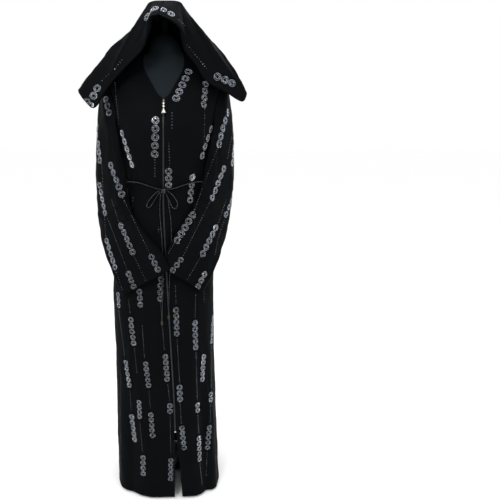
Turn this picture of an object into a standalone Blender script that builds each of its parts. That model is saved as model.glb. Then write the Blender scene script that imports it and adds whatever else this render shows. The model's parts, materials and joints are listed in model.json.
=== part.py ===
"""A long hooded abaya with a front zip and a thin tie belt, standing on a limbless dress form.

Metres, +Z up. The wearer faces -Y, so +X is the wearer's left. The origin is the middle of the
stand's underside, on the floor, and the form's pole runs up the Z axis.
"""

import math

import bmesh
import bpy
from mathutils import Vector

# Cloth
WALL = 0.0015            # thickness of every cloth wall
SEAM = 0.0003            # clearance between pieces that are sewn together or touch
HEM_Z = 0.010
ZIP_TOP_Z = 1.375        # the neck's V ends here
ZIP_END_Z = 0.270        # the slit runs from here to the hem
NECK_TOP_Z = 1.502
ZIP_GAP = 0.0030         # each front's edge to the middle of the zip
SLIT_OPEN = 0.021        # the left front's edge swings this far aside at the hem
TAPE_WIDTH = 0.014
TAPE_WALL = 0.0010

# One row for each section of the body, from the hem to the neck: height, half width, depth in
# front, depth behind, middle, the zip's place across, and squareness (2 is an ellipse).
BODY = (
    (0.010, 0.194, 0.155, 0.212, 0.016, 0.040, 2.70),
    (0.180, 0.189, 0.140, 0.203, 0.010, 0.039, 2.60),
    (0.400, 0.181, 0.134, 0.189, 0.004, 0.031, 2.50),
    (0.570, 0.176, 0.130, 0.181, -0.001, 0.021, 2.40),
    (0.758, 0.173, 0.125, 0.164, -0.005, 0.010, 2.30),
    (0.850, 0.169, 0.109, 0.154, -0.004, 0.005, 2.30),
    (0.935, 0.161, 0.107, 0.142, -0.003, 0.001, 2.20),
    (1.010, 0.150, 0.117, 0.124, -0.001, -0.003, 2.10),
    (1.069, 0.140, 0.122, 0.109, 0.000, -0.005, 2.00),
    (1.117, 0.134, 0.122, 0.096, 0.000, -0.005, 2.00),
    (1.150, 0.137, 0.134, 0.098, 0.000, -0.005, 2.00),
    (1.205, 0.147, 0.151, 0.104, 0.000, -0.005, 2.00),
    (1.285, 0.157, 0.171, 0.107, 0.000, -0.005, 2.10),
    (1.323, 0.163, 0.165, 0.105, 0.000, -0.005, 2.20),
    (1.375, 0.172, 0.138, 0.100, 0.000, -0.004, 2.30),
    (1.410, 0.178, 0.112, 0.093, 0.000, -0.004, 2.40),
    (1.435, 0.173, 0.091, 0.086, 0.000, -0.004, 2.40),
    (1.455, 0.150, 0.074, 0.078, 0.000, -0.004, 2.30),
    (1.475, 0.112, 0.061, 0.070, 0.000, -0.004, 2.20),
    (1.490, 0.084, 0.053, 0.062, 0.000, -0.004, 2.10),
    (1.502, 0.067, 0.048, 0.056, 0.000, -0.004, 2.00),
)
HALF, FRONT, BACK, MIDDLE, ZIP_X, SQUARE = range(1, 7)
# The fronts and the back have a row of points at each of these heights.
BODY_STOPS = (
    HEM_Z, 0.135, ZIP_END_Z, 0.41, 0.57, 0.70, 0.79, 0.85, 0.90, 0.95, 1.01, 1.069, 1.100, 1.117,
    1.135, 1.155, 1.205, 1.245, 1.262, 1.300, 1.340, 1.375, 1.395, 1.418, 1.437, 1.455, 1.475,
    1.490, NECK_TOP_Z,
)
ROW_SPACING = 0.15       # and no rows are further apart than this

# The skirt's long folds: angle at the hem and at the top (0 is the front, 90 the wearer's left,
# 180 the back), half width in degrees, height of the crest, and where the fold fades out.
FOLDS = (
    (-62, -58, 9, 0.007, 0.62),
    (-44, -40, 7, -0.006, 0.70),
    (-20, -17, 9, 0.004, 0.66),
    (30, 26, 8, 0.004, 0.60),
    (47, 45, 6, -0.009, 0.74),
    (60, 57, 8, 0.007, 0.72),
    (104, 100, 10, -0.006, 0.66),
    (121, 119, 10, 0.009, 0.84),
    (143, 139, 9, -0.007, 0.80),
    (160, 157, 9, 0.008, 0.86),
    (183, 180, 9, -0.006, 0.80),
    (203, 199, 9, 0.008, 0.84),
    (224, 220, 8, -0.008, 0.78),
    (243, 240, 10, 0.007, 0.72),
)
FOLD_FULL_DROP = 0.55    # a fold reaches its full height this far below its top

# Neck and armholes
NECK_EDGE = (            # height, half width of the open V
    (1.375, 0.0035),
    (1.385, 0.0160),
    (1.420, 0.0370),
    (1.455, 0.0560),
    (1.478, 0.0600),
    (1.490, 0.0590),
    (1.502, 0.0560),
)
ARMHOLE_LOW, ARMHOLE_HIGH = 1.245, 1.437
ARMHOLE_ANGLE = 27.0     # the armhole's half width, in degrees about the body's middle
ARMHOLE_OUT = 0.16       # from the body's middle to the armhole
SLEEVE_LAP = 0.004       # the sleeve's head laps this far over the armhole's edge
HEAD_GAP = 0.0007        # between the sleeve's head and the cloth it laps over
SHOULDER_LIFT = 0.0020   # the sleeve's head rises this much more over the shoulder's point
SHOULDER_FROM, SHOULDER_TO = 1.385, 1.425    # the heights between which it does

# Sleeves, from below the armhole to the cuff. A row gives the back or lower edge and the front
# or upper edge of the flattened sleeve, and half its thickness.
SLEEVE_RIGHT = (
    ((-0.214, 0.006, 1.170), (-0.130, -0.098, 1.176), 0.024),
    ((-0.217, 0.010, 1.080), (-0.124, -0.093, 1.100), 0.023),
    ((-0.215, 0.012, 0.998), (-0.110, -0.096, 1.048), 0.022),
    ((-0.207, -0.012, 0.934), (-0.079, -0.112, 0.998), 0.020),
    ((-0.190, -0.046, 0.882), (-0.050, -0.124, 0.955), 0.017),
    ((-0.166, -0.080, 0.830), (-0.020, -0.133, 0.910), 0.015),
    ((-0.139, -0.106, 0.774), (0.006, -0.140, 0.864), 0.014),
)
SLEEVE_LEFT = (
    ((0.214, 0.006, 1.170), (0.131, -0.098, 1.178), 0.024),
    ((0.215, 0.012, 1.080), (0.123, -0.094, 1.120), 0.023),
    ((0.209, 0.016, 1.000), (0.100, -0.100, 1.064), 0.022),
    ((0.196, -0.010, 0.940), (0.066, -0.116, 1.008), 0.020),
    ((0.177, -0.046, 0.885), (0.040, -0.124, 0.962), 0.017),
    ((0.152, -0.084, 0.834), (0.024, -0.129, 0.915), 0.016),
    ((0.123, -0.109, 0.787), (0.012, -0.131, 0.862), 0.0145),
)
SLEEVE_CLEAR = 0.0085    # middle of the sleeve's wall to the body's, over the belt and its tails
CAP_SWELL = 0.044        # how far the head of the sleeve stands out from the shoulder
CAP_LEAST = 0.12         # share of the swell that is left at the head's lower side
CAP_LEAVES, CAP_MEETS = 0.18, 0.5    # shares of the drop over which it leaves and meets
CAP_CLEAR = WALL + 0.0038    # the head's wall to the body's, below its lapped edge
CAP_CLEAR_MORE = 0.004       # and this much more by the middle of its way
CAP_STEPS = 5

# The hood: a flat crown, an oval with squared corners, then one row for each line down from it.
# A row gives the line's place round the hood (0 at the tip in front, 1 behind), its lower or
# front end and how far it swells outward.
CROWN_HALF_X = 0.052
CROWN_HALF_Y = 0.071
CROWN_SQUARE = 4.0       # 2 is a plain oval
CROWN_Z = 1.6185
CROWN_SLOPE = -0.19      # the crown falls towards the back
HOOD_LEFT = (
    (0.00, (-0.018, -0.148, 1.584), 0.004),
    (0.08, (0.030, -0.149, 1.563), 0.004),
    (0.15, (0.053, -0.140, 1.535), 0.004),
    (0.22, (0.058, -0.126, 1.500), 0.006),
    (0.29, (0.088, -0.116, 1.464), 0.012),
    (0.36, (0.119, -0.113, 1.421), 0.020),
    (0.43, (0.172, -0.118, 1.394), 0.026),
    (0.49, (0.222, -0.119, 1.368), 0.026),
    (0.53, (0.236, -0.108, 1.388), 0.026),
    (0.60, (0.231, -0.048, 1.398), 0.024),
    (0.68, (0.224, 0.004, 1.402), 0.022),
    (0.78, (0.172, 0.062, 1.388), 0.014),
    (0.87, (0.112, 0.094, 1.364), 0.010),
    (1.00, (0.000, 0.103, 1.430), 0.006),
)
HOOD_RIGHT = (
    (0.00, (-0.018, -0.148, 1.584), 0.004),
    (0.08, (-0.044, -0.150, 1.574), 0.004),
    (0.15, (-0.053, -0.140, 1.532), 0.004),
    (0.22, (-0.068, -0.129, 1.499), 0.006),
    (0.29, (-0.101, -0.120, 1.469), 0.008),
    (0.36, (-0.146, -0.120, 1.425), 0.012),
    (0.43, (-0.180, -0.128, 1.384), 0.014),
    (0.49, (-0.208, -0.132, 1.350), 0.014),
    (0.53, (-0.248, -0.118, 1.394), 0.014),
    (0.60, (-0.236, -0.048, 1.398), 0.018),
    (0.68, (-0.226, 0.004, 1.400), 0.020),
    (0.78, (-0.174, 0.062, 1.386), 0.014),
    (0.87, (-0.110, 0.094, 1.366), 0.010),
    (1.00, (0.000, 0.103, 1.430), 0.006),
)
# The cloth turned under the hood's lower edge runs up to the neck, where it is sewn on: place
# round the hood, the middle of its way and its end at the neck.
HOOD_UNDER = (
    (0.45, (0.190, -0.070, 1.452), (0.118, -0.066, 1.470)),
    (0.53, (0.196, -0.056, 1.456), (0.104, -0.058, 1.482)),
    (0.60, (0.192, -0.034, 1.464), (0.090, -0.042, 1.494)),
    (0.68, (0.186, 0.002, 1.470), (0.080, 0.006, 1.508)),
    (0.78, (0.148, 0.060, 1.474), (0.066, 0.038, 1.509)),
    (0.87, (0.098, 0.092, 1.466), (0.046, 0.056, 1.507)),
    (1.00, (0.000, 0.098, 1.476), (0.000, 0.067, 1.506)),
)
UNDER_START = (0.46, 0.56)   # from here to here the turned cloth lengthens until it meets the neck
EDGE_ROUND = 0.0045      # half as far across as the fold at the edge is wide
# The turned cloth: share of the way down the hood, and depth inside it in EDGE_ROUNDs.
EDGE_TURN = ((1.0, 1.0), (0.93, 1.5), (0.87, 1.8), (0.82, 2.1), (0.77, 2.3))
HOOD_ROWS = (0.1, 0.24, 0.4, 0.56, 0.72, 0.88, 1.0)
HOOD_MIDDLE = Vector((0.0, -0.020, 1.470))
HOOD_CLEAR = 0.0045      # the turned cloth stays this far out from the body's
SEAM_BLEND = 0.10        # near the seam both halves turn under the same way
HOOD_BACK_DENT = 0.016   # the hollow under the crown's back corner
DENT_MIDDLE, DENT_HALF = 0.22, 0.16      # shares of the way down where it lies
DENT_FROM = 0.7          # place round the hood where it starts
HOOD_SEAM = 0.00045      # each half's edge to the seam between them

# Belt
BELT_RADIUS = 0.0020
BELT_OUT = WALL / 2.0 + 3.0 * SEAM + BELT_RADIUS     # middle of the cord above the cloth's middle
KNOT_SIZE = (0.0085, 0.0060, 0.0070)
KNOT_OUT = BELT_OUT + 2.0 * SEAM + BELT_RADIUS + KNOT_SIZE[1]
KNOT_Z = 1.118
BELT_SIDE_RISE = 0.020   # the belt runs up from the knot to either side of the front
BELT_RISE_END = 40.0     # degrees from the knot
BELT_FALL = (45.0, 100.0)    # and it comes down again between these
# Routes of the tie's loops and tails from the knot: across, height, and the height above the
# cloth of the middle of the cord.
LOOP_RIGHT = (
    (-0.0141, 1.1170, 0.0110),
    (-0.0260, 1.1080, 0.0130),
    (-0.0380, 1.0940, 0.0140),
    (-0.0490, 1.0780, 0.0120),
    (-0.0530, 1.0670, 0.0090),
    (-0.0480, 1.0620, 0.0070),
    (-0.0400, 1.0700, 0.0060),
    (-0.0300, 1.0860, 0.0060),
    (-0.0200, 1.1020, 0.0060),
    (-0.0150, 1.1095, 0.0070),
)
LOOP_LEFT = (
    (0.0040, 1.1165, 0.0110),
    (0.0160, 1.1070, 0.0130),
    (0.0270, 1.0930, 0.0130),
    (0.0350, 1.0780, 0.0110),
    (0.0350, 1.0670, 0.0085),
    (0.0285, 1.0600, 0.0080),
    (0.0200, 1.0670, 0.0085),
    (0.0130, 1.0830, 0.0090),
    (0.0070, 1.0960, 0.0090),
    (0.0030, 1.1060, 0.0095),
)
TAIL_RIGHT = (
    (-0.0120, 1.1075, 0.0040),
    (-0.0138, 1.0940, 0.0036),
    (-0.0150, 1.0800, 0.0034),
    (-0.0155, 1.0600, 0.0034),
    (-0.0152, 1.0400, 0.0034),
    (-0.0140, 1.0200, 0.0034),
    (-0.0125, 1.0000, 0.0034),
    (-0.0111, 0.9800, 0.0034),
    (-0.0100, 0.9600, 0.0034),
    (-0.0080, 0.9200, 0.0042),
    (-0.0068, 0.8800, 0.0042),
    (-0.0062, 0.8400, 0.0042),
    (-0.0070, 0.8000, 0.0042),
    (-0.0085, 0.7600, 0.0034),
    (-0.0095, 0.7250, 0.0034),
    (-0.0100, 0.6950, 0.0034),
)
TAIL_LEFT = (
    (0.0015, 1.1060, 0.0040),
    (0.0058, 1.0960, 0.0036),
    (0.0095, 1.0850, 0.0034),
    (0.0125, 1.0600, 0.0034),
    (0.0149, 1.0450, 0.0034),
    (0.0170, 1.0300, 0.0034),
    (0.0184, 1.0100, 0.0034),
    (0.0195, 0.9900, 0.0034),
    (0.0200, 0.9700, 0.0034),
    (0.0200, 0.9500, 0.0034),
    (0.0190, 0.9100, 0.0042),
    (0.0165, 0.8700, 0.0042),
    (0.0145, 0.8300, 0.0042),
    (0.0130, 0.7900, 0.0042),
    (0.0120, 0.7500, 0.0034),
    (0.0118, 0.7150, 0.0034),
)
TAIL_END_LENGTH = 0.016
TAIL_END_RADIUS = 0.0042

# Zip slider and its pull
SLIDER_Z = 1.3665
SLIDER_HALF = (0.0042, 0.0056)      # half width and half length
SLIDER_OUT = (0.0011, 0.0027)       # its plate's inner and outer face above the cloth's middle
BAIL_OUT = 0.0056                   # the bail's bar above the cloth's middle
BAIL_RADIUS = 0.0005
BAIL_HALF = 0.0030
RING_RADIUS = 0.0030
RING_WIRE = 0.0007
RING_NARROW = 0.6                   # the ring is an oval, narrow towards the cloth
RING_PLAY = 0.0004                  # between the ring and the bail's bar
PULL_LEAN = 2.5                     # degrees that the pull leans out from the cloth
# The pull below its ring, turned: distance from the bail's bar, radius.
PULL_PROFILE = (
    (0.0047, 0.0000),
    (0.0047, 0.0009),
    (0.0077, 0.0009),
    (0.0088, 0.0026),
    (0.0112, 0.0035),
    (0.0136, 0.0026),
    (0.0149, 0.0011),
    (0.0170, 0.0011),
    (0.0181, 0.0026),
    (0.0204, 0.0035),
    (0.0228, 0.0026),
    (0.0241, 0.0011),
    (0.0257, 0.0011),
    (0.0270, 0.0026),
    (0.0310, 0.0036),
    (0.0376, 0.0054),
    (0.0416, 0.0059),
    (0.0434, 0.0054),
    (0.0434, 0.0000),
)

# Dress form: its shoulders carry the cloth, and lower down it stands clear of it.
FORM_LOW_Z = 0.800
# Height, and clearance to the middle of the cloth's wall.
FORM_CLEAR = (
    (0.800, 0.0080),
    (1.117, 0.0060),
    (1.300, 0.0070),
    (1.410, 0.0072),
    (1.437, 0.0056),
    (1.455, 0.0030),
    (1.475, 0.0017),
    (1.502, 0.0016),
)
# Above the collar: height, half width, depth in front and depth behind.
NECK = (
    (1.508, 0.0535, 0.0430, 0.0480),
    (1.522, 0.0470, 0.0400, 0.0430),
    (1.536, 0.0395, 0.0350, 0.0365),
    (1.548, 0.0300, 0.0275, 0.0285),
    (1.556, 0.0200, 0.0190, 0.0195),
    (1.560, 0.0120, 0.0120, 0.0120),
)
# Below the hips' widest place the form draws in: height, share of the cloth's section.
FORM_TAPER = (
    (0.800, 0.78),
    (0.830, 0.83),
    (0.900, 0.90),
    (1.010, 0.96),
    (1.117, 1.00),
)
POST_RADIUS = 0.0090
REST_HALF = (0.042, 0.060)
REST_THICK = 0.013
POLE_RADIUS = 0.014
BASE_THICK = 0.008
BASE_ARM_WIDTH = 0.030
BASE_ARM_REACH = {270: 0.128, 30: 0.160, 150: 0.160}

# Colours: red, green, blue, roughness, metallic
CLOTH_LOOK = (0.010, 0.012, 0.016, 0.62, 0.0)
TAPE_LOOK = (0.020, 0.022, 0.026, 0.70, 0.0)
FORM_LOOK = (0.030, 0.038, 0.042, 0.55, 0.0)
GOLD_LOOK = (0.780, 0.600, 0.280, 0.25, 1.0)
STEEL_LOOK = (0.030, 0.032, 0.035, 0.40, 1.0)


def clear_scene():
    """Remove what the scene holds before the model is made."""
    for item in list(bpy.data.objects):
        bpy.data.objects.remove(item, do_unlink=True)


def smooth_step(value):
    """Ease from 0 to 1."""
    value = min(max(value, 0.0), 1.0)
    return value * value * (3.0 - 2.0 * value)


def read_table(table, column, place):
    """Read a column of a table at a place, on a smooth curve through its rows."""
    last = len(table) - 1
    place = min(max(place, table[0][0]), table[last][0])
    row = 0
    while row < last - 1 and place > table[row + 1][0]:
        row += 1

    def slope(at):
        low, high = max(at - 1, 0), min(at + 1, last)
        return (table[high][column] - table[low][column]) / (table[high][0] - table[low][0])

    span = table[row + 1][0] - table[row][0]
    share = (place - table[row][0]) / span
    start, end = table[row][column], table[row + 1][column]
    cube, square = share**3, share**2
    return (
        (2 * cube - 3 * square + 1) * start
        + (cube - 2 * square + share) * span * slope(row)
        + (3 * square - 2 * cube) * end
        + (cube - square) * span * slope(row + 1)
    )


def fold_height(angle, height):
    """How far the skirt's folds lift the cloth at an angle and a height."""
    lift = 0.0
    for hem_angle, top_angle, half_width, crest, top in FOLDS:
        if height >= top:
            continue
        share = smooth_step((top - height) / FOLD_FULL_DROP)
        along = min((top - height) / (top - HEM_Z), 1.0)
        middle = top_angle + (hem_angle - top_angle) * along
        away = (angle - middle + 180.0) % 360.0 - 180.0
        lift += crest * share * math.exp(-((away / half_width) ** 2))
    return lift


def body_flat(angle, height, grow=0.0):
    """A point of the body's plain section, without folds."""
    turn = math.radians((angle + 180.0) % 360.0 - 180.0)
    power = read_table(BODY, SQUARE, height)
    across = math.sin(turn)
    along = max(1.0 - abs(across) ** power, 0.0) ** (1.0 / power)
    facing_front = math.cos(turn) >= 0.0
    depth = read_table(BODY, FRONT if facing_front else BACK, height) + grow
    half = read_table(BODY, HALF, height) + grow
    middle = read_table(BODY, MIDDLE, height)
    return Vector((middle + half * across, (-depth if facing_front else depth) * along, height))


def body_normal(angle, height):
    """The way out of the body's surface."""
    step_angle, step_height = 0.6, 0.003
    low, high = height - step_height, min(height + step_height, NECK_TOP_Z)
    round_way = body_flat(angle + step_angle, height) - body_flat(angle - step_angle, height)
    up_way = body_flat(angle, high) - body_flat(angle, low)
    return round_way.cross(up_way).normalized()


def body_point(angle, height, out=0.0):
    """A point of the body's cloth, moved out from the middle of its wall."""
    normal = body_normal(angle, height)
    return body_flat(angle, height) + normal * (out + fold_height(angle, height))


def angle_at(across, height):
    """The front's angle at a place across."""
    half = read_table(BODY, HALF, height)
    middle = read_table(BODY, MIDDLE, height)
    return math.degrees(math.asin(min(max((across - middle) / half, -1.0), 1.0)))


def front_point(across, height, out):
    """A point above the front's cloth, given its place across."""
    return body_point(angle_at(across, height), height, out)


def seam_angle(height, behind):
    """The angle of a side seam's edge, half a seam's clearance from the seam."""
    power = read_table(BODY, SQUARE, height)
    depth = read_table(BODY, BACK if behind else FRONT, height)
    share = SEAM / depth
    return math.degrees(math.asin((1.0 - share**power) ** (1.0 / power)))


def armhole_half(height, lap=0.0):
    """Half the armhole's angle at a height, or 0 above and below it."""
    middle = (ARMHOLE_HIGH + ARMHOLE_LOW) / 2.0
    reach = (ARMHOLE_HIGH - ARMHOLE_LOW) / 2.0 + lap
    share = 1.0 - ((height - middle) / reach) ** 2
    if share <= 0.0:
        return 0.0
    return (ARMHOLE_ANGLE + math.degrees(lap / ARMHOLE_OUT)) * math.sqrt(share)


def side_edge(height, behind):
    """The side edge of a front or a back: the seam, or the armhole's edge."""
    return min(seam_angle(height, behind), 90.0 - armhole_half(height))


def heights(stops, spacing):
    """Heights between the stops, at most a spacing apart."""
    rows = [stops[0]]
    for low, high in zip(stops, stops[1:]):
        count = max(1, math.ceil((high - low) / spacing))
        rows += [low + (high - low) * step / count for step in range(1, count + 1)]
    return rows


def look(name, values):
    """A Principled material."""
    made = bpy.data.materials.new(name)
    made.use_nodes = True
    shader = made.node_tree.nodes["Principled BSDF"]
    red, green, blue, roughness, metallic = values
    shader.inputs["Base Color"].default_value = (red, green, blue, 1.0)
    shader.inputs["Roughness"].default_value = roughness
    shader.inputs["Metallic"].default_value = metallic
    return made


def add_object(name, data, material, collection):
    """Put a new object in its collection with its material."""
    made = bpy.data.objects.new(name, data)
    collection.objects.link(made)
    data.materials.clear()
    data.materials.append(material)
    return made


def grid_mesh(name, rows, closed=False, pole=None):
    """An open surface through rows of points. A closed grid joins each row's ends."""
    mesh = bpy.data.meshes.new(name)
    shape = bmesh.new()
    lines = [[shape.verts.new(point) for point in row] for row in rows]
    for low, high in zip(lines, lines[1:]):
        count = len(low)
        for place in range(count if closed else count - 1):
            after = (place + 1) % count
            shape.faces.new((low[place], low[after], high[after], high[place]))
    if pole is not None:
        top = shape.verts.new(pole)
        first = lines[0]
        for place in range(len(first) - 1):
            shape.faces.new((top, first[place + 1], first[place]))
    bmesh.ops.recalc_face_normals(shape, faces=shape.faces)
    for face in shape.faces:
        face.smooth = True
    shape.to_mesh(mesh)
    shape.free()
    return mesh


def cloth(name, rows, material, collection, closed=False, pole=None, wall=WALL):
    """A cloth piece: an open surface given a wall on both sides of its middle."""
    made = add_object(name, grid_mesh(name, rows, closed, pole), material, collection)
    shell = made.modifiers.new("wall", "SOLIDIFY")
    shell.thickness = wall
    shell.offset = 0.0
    return made


def loft(name, rows, material, collection):
    """A closed solid through rings, with flat ends."""
    mesh = bpy.data.meshes.new(name)
    shape = bmesh.new()
    rings = [[shape.verts.new(point) for point in row] for row in rows]
    for low, high in zip(rings, rings[1:]):
        count = len(low)
        for place in range(count):
            after = (place + 1) % count
            shape.faces.new((low[place], low[after], high[after], high[place]))
    shape.faces.new(list(reversed(rings[0])))
    shape.faces.new(rings[-1])
    bmesh.ops.recalc_face_normals(shape, faces=shape.faces)
    shape.to_mesh(mesh)
    shape.free()
    return add_object(name, mesh, material, collection)


def tube(name, points, radius, material, collection, closed=False, sides=2):
    """A round cord along points."""
    curve = bpy.data.curves.new(name, "CURVE")
    curve.dimensions = "3D"
    curve.bevel_depth = radius
    curve.bevel_resolution = sides
    curve.use_fill_caps = not closed
    line = curve.splines.new("POLY")
    line.points.add(len(points) - 1)
    for place, point in enumerate(points):
        line.points[place].co = (*point, 1.0)
    line.use_cyclic_u = closed
    return add_object(name, curve, material, collection)


def turned(name, profile, material, collection, steps=16):
    """A turned solid about its own Z axis. The profile gives distance down the axis and radius."""
    mesh = bpy.data.meshes.new(name)
    shape = bmesh.new()
    line = [shape.verts.new((radius, 0.0, -down)) for down, radius in profile]
    for first, second in zip(line, line[1:]):
        shape.edges.new((first, second))
    shape.to_mesh(mesh)
    shape.free()
    made = add_object(name, mesh, material, collection)
    screw = made.modifiers.new("turn", "SCREW")
    screw.steps = steps
    screw.render_steps = steps
    screw.use_merge_vertices = True
    screw.merge_threshold = 0.00001
    return made


def curve_through(points, spacing):
    """Points at a spacing along a smooth curve through the route's own points."""
    points = [Vector(point) for point in points]
    dense = []
    for place in range(len(points) - 1):
        before = points[max(place - 1, 0)]
        start, end = points[place], points[place + 1]
        after = points[min(place + 2, len(points) - 1)]
        for step in range(12):
            share = step / 12.0
            dense.append(0.5 * (
                2.0 * start
                + (end - before) * share
                + (2.0 * before - 5.0 * start + 4.0 * end - after) * share**2
                + (3.0 * start - before - 3.0 * end + after) * share**3
            ))
    dense.append(points[-1])
    length = sum((b - a).length for a, b in zip(dense, dense[1:]))
    count = max(2, round(length / spacing))
    spaced, walked, wanted = [dense[0]], 0.0, 1
    for a, b in zip(dense, dense[1:]):
        run = (b - a).length
        while wanted < count and walked + run >= wanted * length / count:
            spaced.append(a.lerp(b, (wanted * length / count - walked) / run))
            wanted += 1
        walked += run
    spaced.append(dense[-1])
    return spaced


def zip_edge(height, side):
    """The angle of a front's edge along the zip, the neck's V and the slit."""
    middle = read_table(BODY, ZIP_X, height)
    open_half = ZIP_GAP
    if height > ZIP_TOP_Z:
        open_half = read_table(NECK_EDGE, 1, height)
    if height < ZIP_END_Z and side > 0:
        open_half += SLIT_OPEN * (ZIP_END_Z - height) / (ZIP_END_Z - HEM_Z)
    return angle_at(middle + side * open_half, height)


def make_front(name, side, material, collection, columns=12):
    """A front, from the zip to the side seam, with its neck edge and half the armhole."""
    rows = []
    for height in heights(BODY_STOPS, ROW_SPACING):
        start, end = abs(zip_edge(height, side)), side_edge(height, False)
        if zip_edge(height, side) * side < 0.0:
            start = -start
        row = []
        for place in range(columns + 1):
            angle = start + (end - start) * place / columns
            row.append(body_point(side * angle, height))
        rows.append(row)
    return cloth(name, rows, material, collection)


def make_back(material, collection, columns=22):
    """The back, cut in one, from side seam to side seam."""
    rows = []
    for height in heights(BODY_STOPS, ROW_SPACING):
        edge = side_edge(height, True)
        row = []
        for place in range(columns + 1):
            share = 2.0 * place / columns - 1.0
            row.append(body_point(180.0 + edge * share, height))
        rows.append(row)
    return cloth("back", rows, material, collection)


def stand_off(point, clear):
    """Move a point out until it is clear of the body's plain section."""
    height = min(point.z, NECK_TOP_Z)
    power = read_table(BODY, SQUARE, height)
    middle = read_table(BODY, MIDDLE, height)
    half = read_table(BODY, HALF, height) + clear
    depth = read_table(BODY, FRONT if point.y < 0.0 else BACK, height) + clear
    size = (abs((point.x - middle) / half) ** power + abs(point.y / depth) ** power) ** (1 / power)
    if size >= 1.0 or size < 0.01:
        return point
    return Vector((middle + (point.x - middle) / size, point.y / size, point.z))


def armhole_ring(side, sides):
    """The sleeve's head: a ring that laps over the armhole's edge, close on the body."""
    middle = (ARMHOLE_HIGH + ARMHOLE_LOW) / 2.0
    reach = (ARMHOLE_HIGH - ARMHOLE_LOW) / 2.0 + SLEEVE_LAP
    half_angle = ARMHOLE_ANGLE + math.degrees(SLEEVE_LAP / ARMHOLE_OUT)
    ring = []
    for place in range(sides):
        turn = 2.0 * math.pi * place / sides
        height = middle + reach * math.cos(turn)
        spread = half_angle * math.sin(turn)
        rise = smooth_step((height - SHOULDER_FROM) / (SHOULDER_TO - SHOULDER_FROM))
        lift = SHOULDER_LIFT * rise
        ring.append(body_point(side * (90.0 - spread), height, WALL + HEAD_GAP + lift))
    return ring


def sleeve_ring(low_edge, high_edge, half_thick, way, side, sides):
    """A flattened ring of the sleeve across the way that it runs."""
    low_edge, high_edge = Vector(low_edge), Vector(high_edge)
    centre = (low_edge + high_edge) / 2.0
    long_half = (high_edge - low_edge) / 2.0
    out = long_half.cross(way).normalized()
    if out.x * side < 0.0:
        out = -out
    ring = []
    for place in range(sides):
        turn = 2.0 * math.pi * place / sides
        point = centre + out * half_thick * math.cos(turn) + long_half * math.sin(turn)
        ring.append(stand_off(point, SLEEVE_CLEAR))
    return ring


def make_sleeve(name, side, table, material, collection, sides=16):
    """A sleeve from the armhole to its open cuff, bent so that the cuff lies on the front."""
    middles = [(Vector(low) + Vector(high)) / 2.0 for low, high, thick in table]
    lower = []
    for place, (low, high, thick) in enumerate(table):
        before, after = middles[max(place - 1, 0)], middles[min(place + 1, len(table) - 1)]
        lower.append(sleeve_ring(low, high, thick, after - before, side, sides))
    head = armhole_ring(side, sides)
    rows = [head]
    for step in range(1, CAP_STEPS):
        share = step / CAP_STEPS
        clear = CAP_CLEAR + CAP_CLEAR_MORE * smooth_step(share * 2.0)
        row = []
        for place in range(sides):
            top_share = max(math.cos(2.0 * math.pi * place / sides), CAP_LEAST)
            start, end = head[place], lower[0][place]
            drop = start.z - end.z
            near = start + Vector((side * CAP_SWELL * top_share, 0.0, -CAP_LEAVES * drop))
            far = end + Vector((0.0, 0.0, CAP_MEETS * drop))
            point = (
                start * (1 - share) ** 3
                + near * 3 * share * (1 - share) ** 2
                + far * 3 * share**2 * (1 - share)
                + end * share**3
            )
            row.append(stand_off(point, clear))
        rows.append(row)
    for ring, below in zip(lower, lower[1:]):
        rows.append(ring)
        rows.append([stand_off((a + b) / 2.0, SLEEVE_CLEAR) for a, b in zip(ring, below)])
    rows.append(lower[-1])
    return cloth(name, rows, material, collection, closed=True)


def hood_value(table, place, column):
    """Read a point of the hood's table, on a smooth curve through its rows."""
    parts = []
    for axis in range(3):
        narrow = [(row[0], row[column][axis]) for row in table]
        parts.append(read_table(narrow, 1, place))
    return Vector(parts)


def crown_point(turn, share, side):
    """A point of the hood's flat crown."""
    power = 2.0 / CROWN_SQUARE
    across = side * CROWN_HALF_X * share * max(math.sin(turn), 0.0) ** power
    along = -CROWN_HALF_Y * share * math.copysign(abs(math.cos(turn)) ** power, math.cos(turn))
    return Vector((across, along, CROWN_Z + CROWN_SLOPE * along))


def hood_outer(table, place, side, share):
    """A point of the hood's outer cloth, on a line from the crown's edge to the hood's edge."""
    place = min(max(place, 0.0), 1.0)
    crown = crown_point(math.pi * place, 1.0, side)
    edge = hood_value(table, place, 1)
    swell = read_table([(row[0], row[2]) for row in table], 1, place)
    away = Vector((edge.x, edge.y, 0.0)).normalized()
    behind = smooth_step((place - DENT_FROM) / (1.0 - DENT_FROM))
    dent = HOOD_BACK_DENT * behind * math.exp(-(((share - DENT_MIDDLE) / DENT_HALF) ** 2))
    lift = swell * math.sin(math.pi * min(share, 1.0)) - dent
    return crown.lerp(edge, share) + away * lift


def hood_inward(table, place, side, share):
    """The way into the hood, square to its cloth, and the same for both halves at their seam."""
    step_place, step_share = 0.02, 0.04
    round_way = (
        hood_outer(table, place + step_place, side, share)
        - hood_outer(table, place - step_place, side, share)
    )
    down_way = (
        hood_outer(table, place, side, min(share + step_share, 1.0))
        - hood_outer(table, place, side, share - step_share)
    )
    inward = down_way.cross(round_way).normalized()
    if inward.dot(HOOD_MIDDLE - hood_outer(table, place, side, share)) < 0.0:
        inward = -inward
    at_seam = Vector((0.0, 1.0 if place < 0.5 else -1.0, 0.0))
    away = smooth_step(min(place, 1.0 - place) / SEAM_BLEND)
    return at_seam.lerp(inward, away).normalized()


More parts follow.
